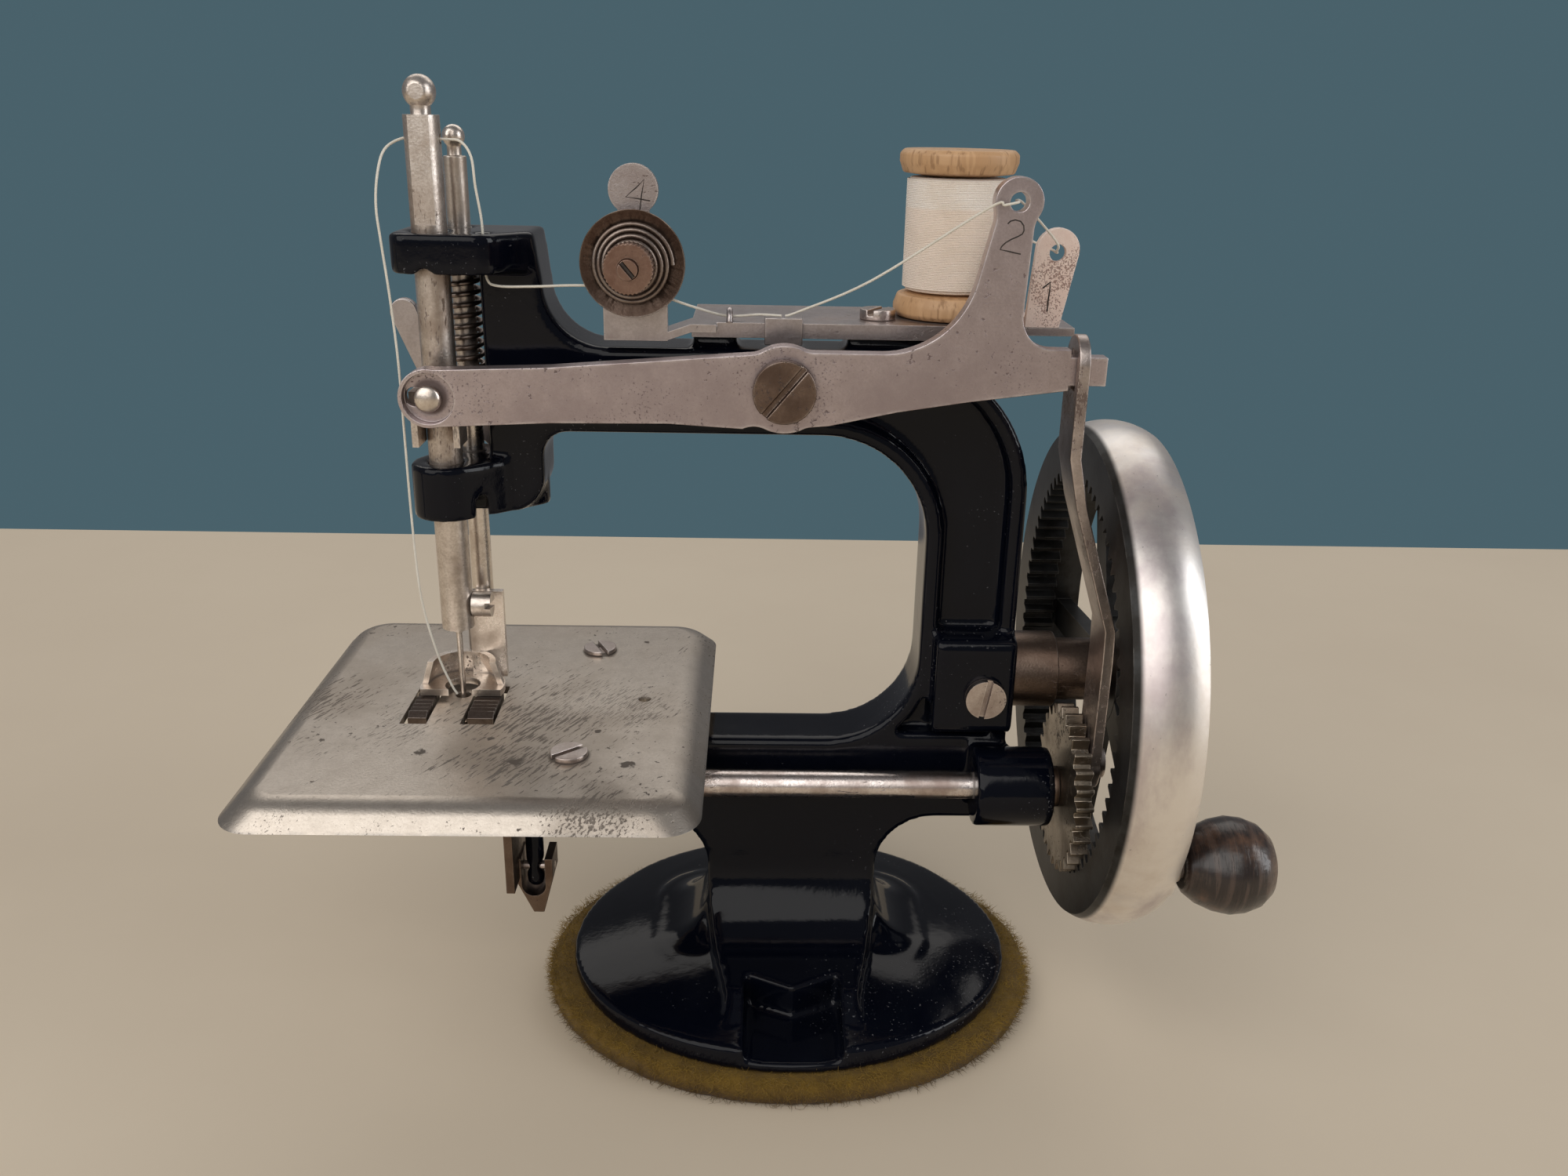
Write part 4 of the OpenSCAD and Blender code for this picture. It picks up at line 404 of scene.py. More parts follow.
# what all metals share: spreads of patches, the share of each mask, and bumps as strength and depth
layerSet = {"fine": (2600, 0.35, 0.7), "mottle": (420, 0.4, 0.68), "gain": 3.0, "mottled": 0.35,
            "grained": 0.4, "creviceShaded": 0.85, "spotted": 0.9, "ringShaded": 0.8, "rubbed": 0.8, "dull": 0.72,
            "bare": 0.35, "grainBump": (0.18, 0.0002), "pitBump": (0.4, 0.0001), "spotSolid": 0.6,
            "spotNoise": {"in_Scale": 1100.0, "in_Detail": 5.0}, "spotTear": 2.0, "shadeRingSolid": 0.8}


def awayFrom(tree, place):  # object coordinates, and how far they are from a place
    coords = tree.nodes.new("ShaderNodeTexCoord").outputs["Object"]
    away = addNode(tree, "ShaderNodeVectorMath", operation="DISTANCE")
    tree.links.new(coords, away.inputs[0])
    away.inputs[1].default_value = metres(place)
    return coords, away.outputs["Value"]


def fadeOut(tree, distance, size, solid):  # full up to a share of the size, gone at the size
    return mathNode(tree, "SUBTRACT", 1, rangeNode(tree, distance, size * solid * mm, size * mm))


def raggedSpot(tree, place, size):  # one dark blotch with a torn outline
    coords, away = awayFrom(tree, place)
    noise = addNode(tree, "ShaderNodeTexNoise", **layerSet["spotNoise"])
    tree.links.new(coords, noise.inputs["Vector"])
    centred = mathNode(tree, "SUBTRACT", noise.outputs["Fac"], 0.5)
    torn = part(tree, centred, size * layerSet["spotTear"] * mm)
    return fadeOut(tree, mathNode(tree, "ADD", away, torn), size, layerSet["spotSolid"])


def shadeRing(tree, place, size):  # painted shade: a soft dark ring round a pin or screw, where a shadow line falls
    return fadeOut(tree, awayFrom(tree, place)[1], size, layerSet["shadeRingSolid"])


def metalFinish(name, s, layer):
    made, tree, shader = newMaterial(name)
    link = tree.links.new
    patches = cloudy(tree, (s["patch"], *s["range"]))
    fine = cloudy(tree, layer["fine"])
    mottle = cloudy(tree, layer["mottle"])
    edges = placeGroup(tree, "edges", Width=s["rub"], Gain=layer["gain"])
    # painted shade: occlusion darkens slots, seams and inner corners toward the rust colour, standing also
    # for settled dirt
    shadeAndDirt = placeGroup(tree, "shadeAndDirt")
    colour = mixColour(tree, patches["Mask"], s["base"], s["tarnish"])
    colour = mixColour(tree, part(tree, mottle["Mask"], layer["mottled"]), colour, s["tarnish"])
    colour = mixColour(tree, part(tree, fine["Mask"], layer["grained"]), colour, s["tarnish"])
    masks = []
    for scale, amount, gather, stretch, turn, strength in s["marks"]:
        pits = placeGroup(tree, "pits", Scale=scale, Amount=amount, Gather=gather, Stretch=stretch, Turn=turn)
        masks.append(part(tree, pits["Mask"], strength))
    for *place, size in s.get("spots", ()):
        masks.append(part(tree, raggedSpot(tree, place, size), layer["spotted"]))
    # painted shade rings round pins and screws
    for *place, size in s.get("rings", ()):
        masks.append(part(tree, shadeRing(tree, place, size), layer["ringShaded"]))
    # worn joins the painted shade of the occlusion and the rings with the real pits and spots, all darkened
    # toward the rust colour
    worn = part(tree, shadeAndDirt["Mask"], layer["creviceShaded"])
    for mask in masks:
        worn = mathNode(tree, "MAXIMUM", worn, mask)
    # edge colour: rubbed metal, and on the lever and the feed dog also a painted highlight
    rubbed = mixColour(tree, part(tree, edges["Mask"], layer["rubbed"]), colour, s["edge"])
    link(mixColour(tree, worn, rubbed, s["rust"]), shader.inputs["Base Color"])
    rough = mixValue(tree, patches["Mask"], *s["rough"])
    link(mixValue(tree, worn, rough, layer["dull"]), shader.inputs["Roughness"])
    link(mixValue(tree, worn, s.get("metal", 1.0), layer["bare"]), shader.inputs["Metallic"])
    normal = bumpFrom(tree, fine["Height"], *layer["grainBump"])
    sunk = mathNode(tree, "SUBTRACT", 1, worn)
    link(bumpFrom(tree, sunk, *layer["pitBump"], normal), shader.inputs["Normal"])
    return made


finishes = {name: metalFinish(name, s, layerSet) for name, s in metalSet.items()}


# black baked enamel with dust, faint orange peel and a few chips along its edges
enamelSet = {"base": (0.0016, 0.0024, 0.006), "worn": (0.0035, 0.0045, 0.0085), "dust": (0.2, 0.2, 0.21),
             "chip": (0.2, 0.17, 0.14), "rough": (0.07, 0.13), "shine": 0.22, "cloud": (45, 0.42, 0.75),
             "peel": (260, 0.2, 0.8), "specks": {"Scale": 1700, "Amount": 0.16, "Gather": 38},
             "edges": {"Width": 0.0009, "Gain": 1.6, "Break": 260}, "dusted": 0.45, "chipped": 0.16,
             "dull": 0.6, "bump": (0.09, 0.0005)}


def enamelFinish(name, s):
    made, tree, shader = newMaterial(name)
    link = tree.links.new
    cloud = cloudy(tree, s["cloud"])
    dust = placeGroup(tree, "pits", **s["specks"])
    peel = cloudy(tree, s["peel"])
    edges = placeGroup(tree, "edges", **s["edges"])
    colour = mixColour(tree, cloud["Mask"], s["base"], s["worn"])
    dusty = mixColour(tree, part(tree, dust["Mask"], s["dusted"]), colour, s["dust"])
    chipped = mixColour(tree, part(tree, edges["Mask"], s["chipped"]), dusty, s["chip"])
    link(chipped, shader.inputs["Base Color"])
    rough = mixValue(tree, cloud["Mask"], *s["rough"])
    link(mixValue(tree, dust["Mask"], rough, s["dull"]), shader.inputs["Roughness"])
    shader.inputs["Specular IOR Level"].default_value = s["shine"]
    link(bumpFrom(tree, peel["Height"], *s["bump"]), shader.inputs["Normal"])
    return made


finishes["blackEnamel"] = enamelFinish("blackEnamel", enamelSet)


# handwheel: bright plated rim with warm and bluish clouds, dark toothed face and spokes
wheelSet = {"axis": (3, 64), "rimX": (49.3, 50.2), "rimR": (40.4, 42.2), "bright": (0.93, 0.885, 0.84),
            "cloud": (0.76, 0.68, 0.61), "cool": (0.63, 0.635, 0.68), "stain": (0.42, 0.33, 0.37),
            "dark": (0.036, 0.036, 0.036), "grime": (0.016, 0.014, 0.012), "rubbed": (0.34, 0.32, 0.3),
            "rough": (0.36, 0.48), "faceRough": 0.4, "metal": (0.7, 1.0), "bump": (0.1, 0.0002),
            "cloudAt": (40, 0.44, 0.7), "coolAt": (26, 0.5, 0.68), "stainAt": (34, 0.52, 0.66),
            "stainPull": (1, 1, 2.2), "fineAt": (1500, 0.3, 0.75), "greaseAt": (160, 0.4, 0.65),
            "pits": {"Scale": 1600, "Amount": 0.13, "Gather": 40}, "edges": {"Width": 0.0004, "Gain": 2.5},
            "cooled": 0.7, "stained": 0.55, "bared": 0.5, "pitted": 0.6}


def wheelFinish(name, s):
    made, tree, shader = newMaterial(name)
    link = tree.links.new
    place = objectPlace(tree)
    dy = mathNode(tree, "SUBTRACT", place["Y"], s["axis"][0] * mm)
    dz = mathNode(tree, "SUBTRACT", place["Z"], s["axis"][1] * mm)
    squares = mathNode(tree, "ADD", mathNode(tree, "MULTIPLY", dy, dy), mathNode(tree, "MULTIPLY", dz, dz))
    outer = rangeNode(tree, mathNode(tree, "SQRT", squares), s["rimR"][0] * mm, s["rimR"][1] * mm)
    beside = rangeNode(tree, place["X"], s["rimX"][0] * mm, s["rimX"][1] * mm)
    plated = mathNode(tree, "MULTIPLY", outer, beside)
    clouds = cloudy(tree, s["cloudAt"])
    cool = cloudy(tree, s["coolAt"])
    stain = cloudy(tree, s["stainAt"], Stretch=s["stainPull"])
    pits = placeGroup(tree, "pits", **s["pits"])
    fine = cloudy(tree, s["fineAt"])
    grease = cloudy(tree, s["greaseAt"])
    edges = placeGroup(tree, "edges", **s["edges"])
    rim = mixColour(tree, clouds["Mask"], s["bright"], s["cloud"])
    rim = mixColour(tree, part(tree, cool["Mask"], s["cooled"]), rim, s["cool"])
    rim = mixColour(tree, part(tree, stain["Mask"], s["stained"]), rim, s["stain"])
    face = mixColour(tree, grease["Mask"], s["dark"], s["grime"])
    face = mixColour(tree, part(tree, edges["Mask"], s["bared"]), face, s["rubbed"])
    joined = mixColour(tree, plated, face, rim)
    pitted = mixColour(tree, part(tree, pits["Mask"], s["pitted"]), joined, s["grime"])
    link(pitted, shader.inputs["Base Color"])
    rimRough = mixValue(tree, clouds["Mask"], *s["rough"])
    link(mixValue(tree, plated, s["faceRough"], rimRough), shader.inputs["Roughness"])
    link(mixValue(tree, plated, *s["metal"]), shader.inputs["Metallic"])
    link(bumpFrom(tree, fine["Height"], *s["bump"]), shader.inputs["Normal"])
    return made


finishes["wheelPlate"] = wheelFinish("wheelPlate", wheelSet)


# turned wood: pale reel and dark stained knob that is worn lighter on its round
woodSet = {
    "reelWood": {
        "light": (0.59, 0.36, 0.19), "dark": (0.52, 0.305, 0.152), "pore": (0.3, 0.165, 0.078), "rough": 0.5,
        "scale": 190, "rings": 30, "centre": (24.4, 7, 139), "pull": (1, 1, 0.1), "worn": (0.55, 0.35, 0.185),
        "wear": (70, 0.5, 0.72, 0.6), "coat": 0.05},
    "knobWood": {
        "light": (0.062, 0.04, 0.031), "dark": (0.02, 0.013, 0.011), "pore": (0.007, 0.005, 0.004),
        "rough": 0.3, "scale": 620, "rings": 16, "centre": (70, -30.1, 44.1), "pull": (1, 0.1, 0.1),
        "worn": (0.21, 0.105, 0.058), "wear": (42, 0.5, 0.66, 0.8), "coat": 0.3},
}
poreSet = {"share": 0.7, "rougher": 0.2, "coatRough": 0.2, "bump": (0.25, -0.0001)}


def woodFinish(name, s, pore):
    made, tree, shader = newMaterial(name)
    link = tree.links.new
    centre = metres(s["centre"])
    grain = placeGroup(tree, "grain", Centre=centre, Scale=s["scale"], Pull=s["pull"], Rings=s["rings"])
    *spread, strength = s["wear"]
    wear = cloudy(tree, spread)
    colour = mixColour(tree, grain["Rings"], s["light"], s["dark"])
    worn = mixColour(tree, part(tree, wear["Mask"], strength), colour, s["worn"])
    pored = mixColour(tree, part(tree, grain["Pores"], pore["share"]), worn, s["pore"])
    link(pored, shader.inputs["Base Color"])
    rough = mixValue(tree, grain["Pores"], s["rough"], s["rough"] + pore["rougher"])
    link(rough, shader.inputs["Roughness"])
    shader.inputs["Coat Weight"].default_value = s["coat"]
    shader.inputs["Coat Roughness"].default_value = pore["coatRough"]
    link(bumpFrom(tree, grain["Pores"], *pore["bump"]), shader.inputs["Normal"])
    return made


finishes.update({name: woodFinish(name, s, poreSet) for name, s in woodSet.items()})


# cotton and felt: two shades, fuzz, and a height above which the colour turns lighter; on the felt this is
# painted light on its top and painted shade on its sides, and the wound cotton is lighter towards its top
softSet = {
    "cottonThread": {"light": (0.84, 0.80, 0.71), "dark": (0.68, 0.62, 0.51), "high": (0.84, 0.80, 0.71),
        "turn": (140, 150), "patch": 240, "range": (0.4, 0.7), "rough": 0.75, "sheen": 0.3, "fuzz": 5200},
    "woundCotton": {"light": (0.94, 0.81, 0.7), "dark": (0.8, 0.67, 0.54), "high": (0.95, 0.89, 0.82),
        "turn": (143.2, 143.8), "patch": 160, "range": (0.36, 0.7), "rough": 0.7, "sheen": 0.3, "fuzz": 4200},
    # felt: the lighter top colour is painted light, the darker colour below it painted shade on the sides
    "feltWool": {"light": (0.075, 0.038, 0.004), "dark": (0.036, 0.017, 0.003), "high": (0.175, 0.1, 0.008),
        "turn": (0.6, 3.6), "patch": 220, "range": (0.36, 0.68), "rough": 0.95, "sheen": 0.08, "fuzz": 2600},
    "feltNap": {"light": (0.15, 0.08, 0.008), "dark": (0.065, 0.032, 0.004), "high": (0.33, 0.2, 0.022),
        "turn": (0.6, 3.6), "patch": 260, "range": (0.36, 0.68), "rough": 0.95, "sheen": 0.08, "fuzz": 3000},
}
fuzzSet = {"range": (0.3, 0.7), "patched": 0.5, "fuzzed": 0.35, "bump": (0.6, 0.0003)}


def softFinish(name, s, nap):
    made, tree, shader = newMaterial(name)
    link = tree.links.new
    patches = cloudy(tree, (s["patch"], *s["range"]))
    fuzz = cloudy(tree, (s["fuzz"], *nap["range"]))
    # colour lighter above the turn height: on the felt, painted light on top and painted shade on the sides
    raised = rangeNode(tree, objectPlace(tree)["Z"], s["turn"][0] * mm, s["turn"][1] * mm)
    light = mixColour(tree, raised, s["light"], s["high"])
    colour = mixColour(tree, part(tree, patches["Mask"], nap["patched"]), light, s["dark"])
    fuzzy = mixColour(tree, part(tree, fuzz["Mask"], nap["fuzzed"]), colour, s["dark"])
    link(fuzzy, shader.inputs["Base Color"])
    shader.inputs["Roughness"].default_value = s["rough"]
    shader.inputs["Sheen Weight"].default_value = s["sheen"]
    link(bumpFrom(tree, fuzz["Height"], *nap["bump"]), shader.inputs["Normal"])
    return made


finishes.update({name: softFinish(name, s, fuzzSet) for name, s in softSet.items()})


# dirt in the struck digits, and painted shade along the tension stud's slot
stampSet = {"dark": (0.016, 0.011, 0.009), "dusty": (0.045, 0.034, 0.028), "rough": 0.7,
            "patch": (900, 0.35, 0.7)}


def stampFinish(name, s):
    made, tree, shader = newMaterial(name)
    shadeAndDirt = cloudy(tree, s["patch"])
    mixed = mixColour(tree, shadeAndDirt["Mask"], s["dark"], s["dusty"])
    tree.links.new(mixed, shader.inputs["Base Color"])
    shader.inputs["Roughness"].default_value = s["rough"]
    return made


finishes["stampDirtAndSlotShade"] = stampFinish("stampDirtAndSlotShade", stampSet)
print("finishes made:", len(finishes))


def finishWith(piece, finish):
    piece.data.materials.clear()
    piece.data.materials.append(finishes[finish])


def settle(piece, body, slotName, finish, *nodes):
    finishWith(piece, finish)
    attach(piece, body)
    if nodes:
        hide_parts(*nodes)
    return piece


nodeBody = {n: b for b, ns in frame["record"]["behaviour"]["bodies"].items() for n in ns}
nodeSlot = {row["node"]: row["material_slot"] for row in frame["record"]["subparts"]}


def smoothAll(data, sharp=None):
    for face in data.polygons:
        face.use_smooth = True
    if sharp is not None:
        data.set_sharp_from_angle(angle=math.radians(sharp))
    return data


def meshFrom(name, work, sharp=None):
    data = bpy.data.meshes.new(name)
    work.to_mesh(data)
    work.free()
    return linkNew(name, smoothAll(data, sharp))


def shapedMesh(maker):  # an object's shape with its modifiers or bevel, as a plain mesh
    bpy.context.view_layer.update()
    shaped = bpy.data.meshes.new_from_object(maker.evaluated_get(bpy.context.evaluated_depsgraph_get()))
    bpy.data.objects.remove(maker)
    return shaped


def fromLine(name, path):  # a drawn line as a piece of its own
    return linkNew(name, shapedMesh(linkNew(name + "Line", path)))


def roundEdges(work, edges, width, steps, clamp=True):
    bmesh.ops.bevel(work, geom=edges, offset=width * mm, offset_type="OFFSET", affect="EDGES", segments=steps,
                    profile=0.5, clamp_overlap=clamp, material=-1)


def closeEnds(work):
    bmesh.ops.holes_fill(work, edges=[e for e in work.edges if e.is_boundary], sides=0)
    bmesh.ops.recalc_face_normals(work, faces=work.faces)


def newLine(name, wire, roundness):
    path = bpy.data.curves.new(name, "CURVE")
    path.dimensions = "3D"
    path.bevel_depth = wire * mm
    path.bevel_resolution = roundness
    path.use_fill_caps = True
    return path


def addRoute(path, points, widths=None):
    line = path.splines.new("POLY")
    line.points.add(len(points) - 1)
    for i, place in enumerate(points):
        line.points[i].co = (*(Vector(place) * mm), 1)
        if widths:
            line.points[i].radius = widths[i]


# rigid pieces: the solid's own shape with its edges eased
easedSet = {
    "cloth_plate": ("clothPlate", "clothPlateNickel", 0.35),
    "plate_screws": ("plateScrews", "screwSteel", 0.16),
    "thread_plate": ("threadPlate", "sheetSteel", 0.16),
    "thread_plate_screw": ("threadPlateScrew", "screwSteel", 0.2),
    "thread_clip": ("threadClip", "sheetSteel", 0.16),
    "thread_guide": ("threadGuide", "guideSteel", 0.25),
    "tension_stud": ("tensionStud", "nutSteel", 0.12),
    "tension_back_disc": ("tensionBackDisc", "tensionSteel", 0.12),
    "tension_front_disc": ("tensionFrontDisc", "tensionSteel", 0.14),
    "tension_nut": ("tensionNut", "nutSteel", 0.1),
    "reel_pin": ("reelPin", "barSteel", 0.2),
    "reel": ("reelBody", "reelWood", 0.25),
    "thread_core": ("threadCore", "woundCotton", 0.3),
    "lever": ("rockingLever", "leverSteel", 0.3),
    "lever_screw": ("leverScrew", "pivotSteel", 0.22),
    "needle_bar": ("needleBar", "barSteel", 0.2),
    "needle_yoke": ("needleYoke", "barSteel", 0.2),
    "drive_stud": ("driveStud", "footSteel", 0.2),
    "needle": ("needleBlade", "footSteel", 0.05),
    "needle_screw": ("needleScrew", "barSteel", 0.16),
    "presser_bar": ("presserBar", "footSteel", 0.18),
    "presser_collar": ("presserCollar", "barSteel", 0.2),
    "presser_foot": ("presserFoot", "footSteel", 0.2),
    "presser_lifter": ("presserLifter", "sheetSteel", 0.2),
    "lifter_screw": ("lifterScrew", "screwSteel", 0.16),
    "wheel_stud": ("wheelStud", "studSteel", 0.25),
    "stud_screw": ("studScrew", "screwSteel", 0.2),
    "handwheel": ("handwheelRim", "wheelPlate", 0.2),
    "wheel_screw": ("wheelScrew", "screwSteel", 0.3),
    "knob_stud": ("knobStud", "barSteel", 0.3),
    "knob": ("knobTurning", "knobWood", 0.4),
    "lower_shaft": ("lowerShaft", "shaftSteel", 0.2),
    "shaft_collar": ("shaftCollar", "studSteel", 0.15),
    "pinion": ("crankPinion", "pinionSteel", 0.14),
    "feed_cam": ("feedCam", "shaftSteel", 0.12),
    "looper": ("looperHook", "shaftSteel", 0.12),
    "feed_lever": ("feedLever", "clawSteel", 0.25),
    "feed_dog": ("feedDog", "feedSteelPaintedPeaks", 0.08),
    "feed_pin": ("feedPin", "shaftSteel", 0.1),
    "connecting_rod": ("connectingRod", "rodSteel", 0.25),
    "crank_screw": ("crankScrew", "screwSteel", 0.2),
}
easeSet = {"merge": 2e-6, "flatten": 0.6, "bend": 32, "segments": 2, "sharp": 40}
rollSet = {"cloth_plate": {"width": 2.2, "segments": 6, "slope": (0.3, 0.95), "level": 0.99}}


def rollRim(work, s):  # a round shoulder where the flat top meets its sloping sides
    low, high = s["slope"]
    rims = []
    for edge in work.edges:
        tilts = sorted(face.normal.z for face in edge.link_faces)
        if len(tilts) == 2 and tilts[1] > s["level"] and low < tilts[0] < high:
            rims.append(edge)
    roundEdges(work, rims, s["width"], s["segments"], clamp=False)


def easedCopy(node, name, width, s):
    work = bmesh.new()
    work.from_mesh(frame["nodes"][node].data)
    bmesh.ops.remove_doubles(work, verts=work.verts, dist=s["merge"])
    bmesh.ops.dissolve_limit(work, angle_limit=math.radians(s["flatten"]), verts=work.verts, edges=work.edges)
    if node in rollSet:
        rollRim(work, rollSet[node])
    bend = math.radians(s["bend"])
    sharp = [e for e in work.edges if len(e.link_faces) == 2 and e.calc_face_angle(0) > bend]
    roundEdges(work, sharp, width, s["segments"])
    piece = meshFrom(name, work, s["sharp"])
    level = piece.modifiers.new("levelFaces", "WEIGHTED_NORMAL")  # broad faces stay flat in the light
    level.keep_sharp = True
    return piece


for node, (name, finish, width) in easedSet.items():
    settle(easedCopy(node, name, width, easeSet), nodeBody[node], nodeSlot[node], finish, node)
print("rigid pieces eased:", len(easedSet))


def frontOf(node):
    return min(v.co.y for v in frame["nodes"][node].data.vertices) / mm


# the drive stud's domed head
domeSet = {"centre": (-58, 115.1), "r": 2.1, "rise": 1.1, "around": 32, "up": 16, "sunk": 0.05,
           "cut": 1e-7}


def studDome(s):
    work = bmesh.new()
    bmesh.ops.create_uvsphere(work, u_segments=s["around"], v_segments=s["up"], radius=1)
    bmesh.ops.scale(work, vec=Vector((s["r"], s["rise"], s["r"])) * mm, verts=work.verts)
    whole = [*work.verts, *work.edges, *work.faces]
    bmesh.ops.bisect_plane(work, geom=whole, dist=s["cut"], plane_co=(0, 0, 0), plane_no=(0, 1, 0),
                           clear_outer=True)
    closeEnds(work)
    place = Vector((s["centre"][0], frontOf("drive_stud") + s["sunk"], s["centre"][1]))
    bmesh.ops.translate(work, vec=place * mm, verts=work.verts)
    return meshFrom("studDome", work, easeSet["sharp"])


settle(studDome(domeSet), "needle_bar", nodeSlot["drive_stud"], "footSteel")


# the casting, with soft corners and fillets from a fine remesh
castSet = {"voxel": 0.62, "smooth": 0.5, "rounds": 5}


def castFrame(s):
    rough = linkNew("roughCast", frame["nodes"]["frame"].data.copy())
    work = bmesh.new()
    work.from_mesh(rough.data)
    bmesh.ops.remove_doubles(work, verts=work.verts, dist=easeSet["merge"])
    work.to_mesh(rough.data)
    work.free()
    remesh = rough.modifiers.new("fineSkin", "REMESH")
    remesh.mode = "VOXEL"
    remesh.voxel_size = s["voxel"] * mm
    soften = rough.modifiers.new("softCorners", "SMOOTH")
    soften.factor = s["smooth"]
    soften.iterations = s["rounds"]
    shaped = smoothAll(shapedMesh(rough))
    print("casting faces", len(shaped.polygons))
    return linkNew("castFrame", shaped)


settle(castFrame(castSet), "frame", "black_enamel", "blackEnamel", "frame")


# presser spring and winding: one round wire swept by a rising spin
coilSet = {
    "presserSpring": {"centre": (-55.2, 3.6), "r": 2.55, "z": (112.27, 132.83), "curls": 12, "wire": 0.42,
                      "sides": 10, "steps": 32, "sharp": 60, "anchor": (-55.2, 3.6, 133.3), "keep": 0.7465},
    "threadWinding": {"centre": (24.4, 7), "r": 8.05, "z": (130.95, 147.85), "curls": 64, "wire": 0.15,
                      "sides": 6, "steps": 36, "sharp": 60},
}


def coilPiece(name, s):
    low, high = s["z"]
    start = Matrix.Translation(Vector((s["centre"][0] + s["r"], s["centre"][1], low)) * mm)
    work = bmesh.new()
    ring = bmesh.ops.create_circle(work, segments=s["sides"], radius=s["wire"] * mm,
                                   matrix=start @ Matrix.Rotation(math.pi / 2, 4, "X"))
    edges = list({e for v in ring["verts"] for e in v.link_edges})
    steps = s["curls"] * s["steps"]
    bmesh.ops.spin(work, geom=edges, cent=Vector((*s["centre"], low)) * mm, axis=(0, 0, 1),
                   dvec=(0, 0, (high - low) / steps * mm), angle=2 * math.pi * s["curls"], steps=steps,
                   use_merge=False)
    closeEnds(work)
    return meshFrom(name, work, s["sharp"])


springSet = coilSet["presserSpring"]
presserSpring = coilPiece("presserSpring", springSet)
settle(presserSpring, "frame", "spring_steel", "coilSteel", "presser_spring")
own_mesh(presserSpring)
winding = coilPiece("threadWinding", coilSet["threadWinding"])
settle(winding, "reel", "thread", "woundCotton", "thread_winding")


# conical tension spring, drawn as a rising line with a round section
coneSet = {"centre": (-26.6, 135.4), "y": (-9.55, -12.89), "r": (6.1, 2.9), "curls": 4, "wire": 0.37,
           "steps": 40, "roundness": 3}


def conePiece(name, s):
    count = s["curls"] * s["steps"]
    route = []
    for i in range(count + 1):
        share = i / count
        turn = 2 * math.pi * s["curls"] * share
        r = s["r"][0] + (s["r"][1] - s["r"][0]) * share
        y = s["y"][0] + (s["y"][1] - s["y"][0]) * share
        route.append((s["centre"][0] + r * math.cos(turn), y, s["centre"][1] + r * math.sin(turn)))
    path = newLine(name, s["wire"], s["roundness"])
    addRoute(path, route)
    piece = fromLine(name, path)
    smoothAll(piece.data)
    return piece


settle(conePiece("tensionSpring", coneSet), "frame", "tension_steel", "coilSteel", "tension_spring")
print("springs and winding made")


# thread: four lengths that follow the guides, each a smooth line through its route
guidePoint = (39.2, -2.8, 137.6)
eyePoint = (30.7, -11.9, 145.7)
wrapSet = {"centre": (24.4, 7, 140.4), "r": 8.6, "turns": (90, 72, 54, 36, 18, 0)}
needleSet = {"foot": (-58, -4.4, 0), "way": [
    (-0.3, 0, 152.6), (-3, -0.2, 152.6), (-5.4, -1.6, 151), (-6.2, -3.6, 147.5), (-6.4, -5, 143),
    (-6, -5.4, 138), (-5.4, -5.4, 130), (-5, -5.2, 120), (-5, -5.2, 108), (-5, -5.2, 96), (-4.8, -5, 84),
    (-4.2, -4.4, 77), (-2.8, -3.2, 69), (-1.4, -1.8, 63.5), (-0.8, -1.2, 61.8)]}


def off(point, step):
    return tuple(a + b for a, b in zip(point, step))


def wrapped(s):  # the last quarter turn on the reel
    turns = [math.radians(a) for a in s["turns"]]
    return [off(s["centre"], (s["r"] * math.cos(a), s["r"] * math.sin(a), 0)) for a in turns]


threadSet = {
    "diameter": 0.4, "perSpan": 6, "roundness": 2,
    "reelToEye": wrapped(wrapSet) + [
        (33.4, 4.8, 140.2), (35.2, 2.6, 139.2), off(guidePoint, (-0.3, 3, 0.2)), off(guidePoint, (0, 1.6, 0)),
        guidePoint, off(guidePoint, (-0.4, -1.6, 0.4)), off(guidePoint, (-1, -3, 2)), (32.6, -7.4, 145),
        off(eyePoint, (0.2, 2.4, 0)), eyePoint],
    "eyeToClip": [
        eyePoint, off(eyePoint, (-0.4, -2, 0)), off(eyePoint, (-2.4, -2.5, -0.4)),
        off(eyePoint, (-4.8, -1.8, -1)), (10, -8, 133.5), (-1, -5.4, 128.2), (-3.2, -5, 127.4)],
    "clipToBar": [
        (-3.8, -5, 127.4), (-7.4, -3.4, 127.3), (-10.6, -1.9, 126.8), (-13.4, -2.4, 127), (-18, -7.1, 129),
        (-26, -7.1, 131.4), (-34.6, -7.1, 131.8), (-42, -7, 131.5), (-47.6, -6.3, 131.4), (-49.3, -6, 132.4),
        (-49.5, -6, 136), (-49.6, -6, 141), (-50.2, -6.2, 146), (-50.6, -6, 150.2), (-52.2, -5, 152.3),
        (-54.4, -4.4, 152.6), (-57.7, -4.4, 152.6)],
    "barToNeedle": [off(needleSet["foot"], step) for step in needleSet["way"]],
}


def smoothRoute(points, perSpan):
    line = []
    last = len(points) - 1
    for i in range(last):
        a, b, c, d = (Vector(points[min(max(k, 0), last)]) for k in (i - 1, i, i + 1, i + 2))
        for k in range(perSpan):
            t = k / perSpan
            squared = (2 * a - 5 * b + 4 * c - d) * t * t
            cubed = (3 * b - a - 3 * c + d) * t ** 3
            line.append(0.5 * ((2 * b) + (c - a) * t + squared + cubed))
    line.append(Vector(points[last]))
    return line


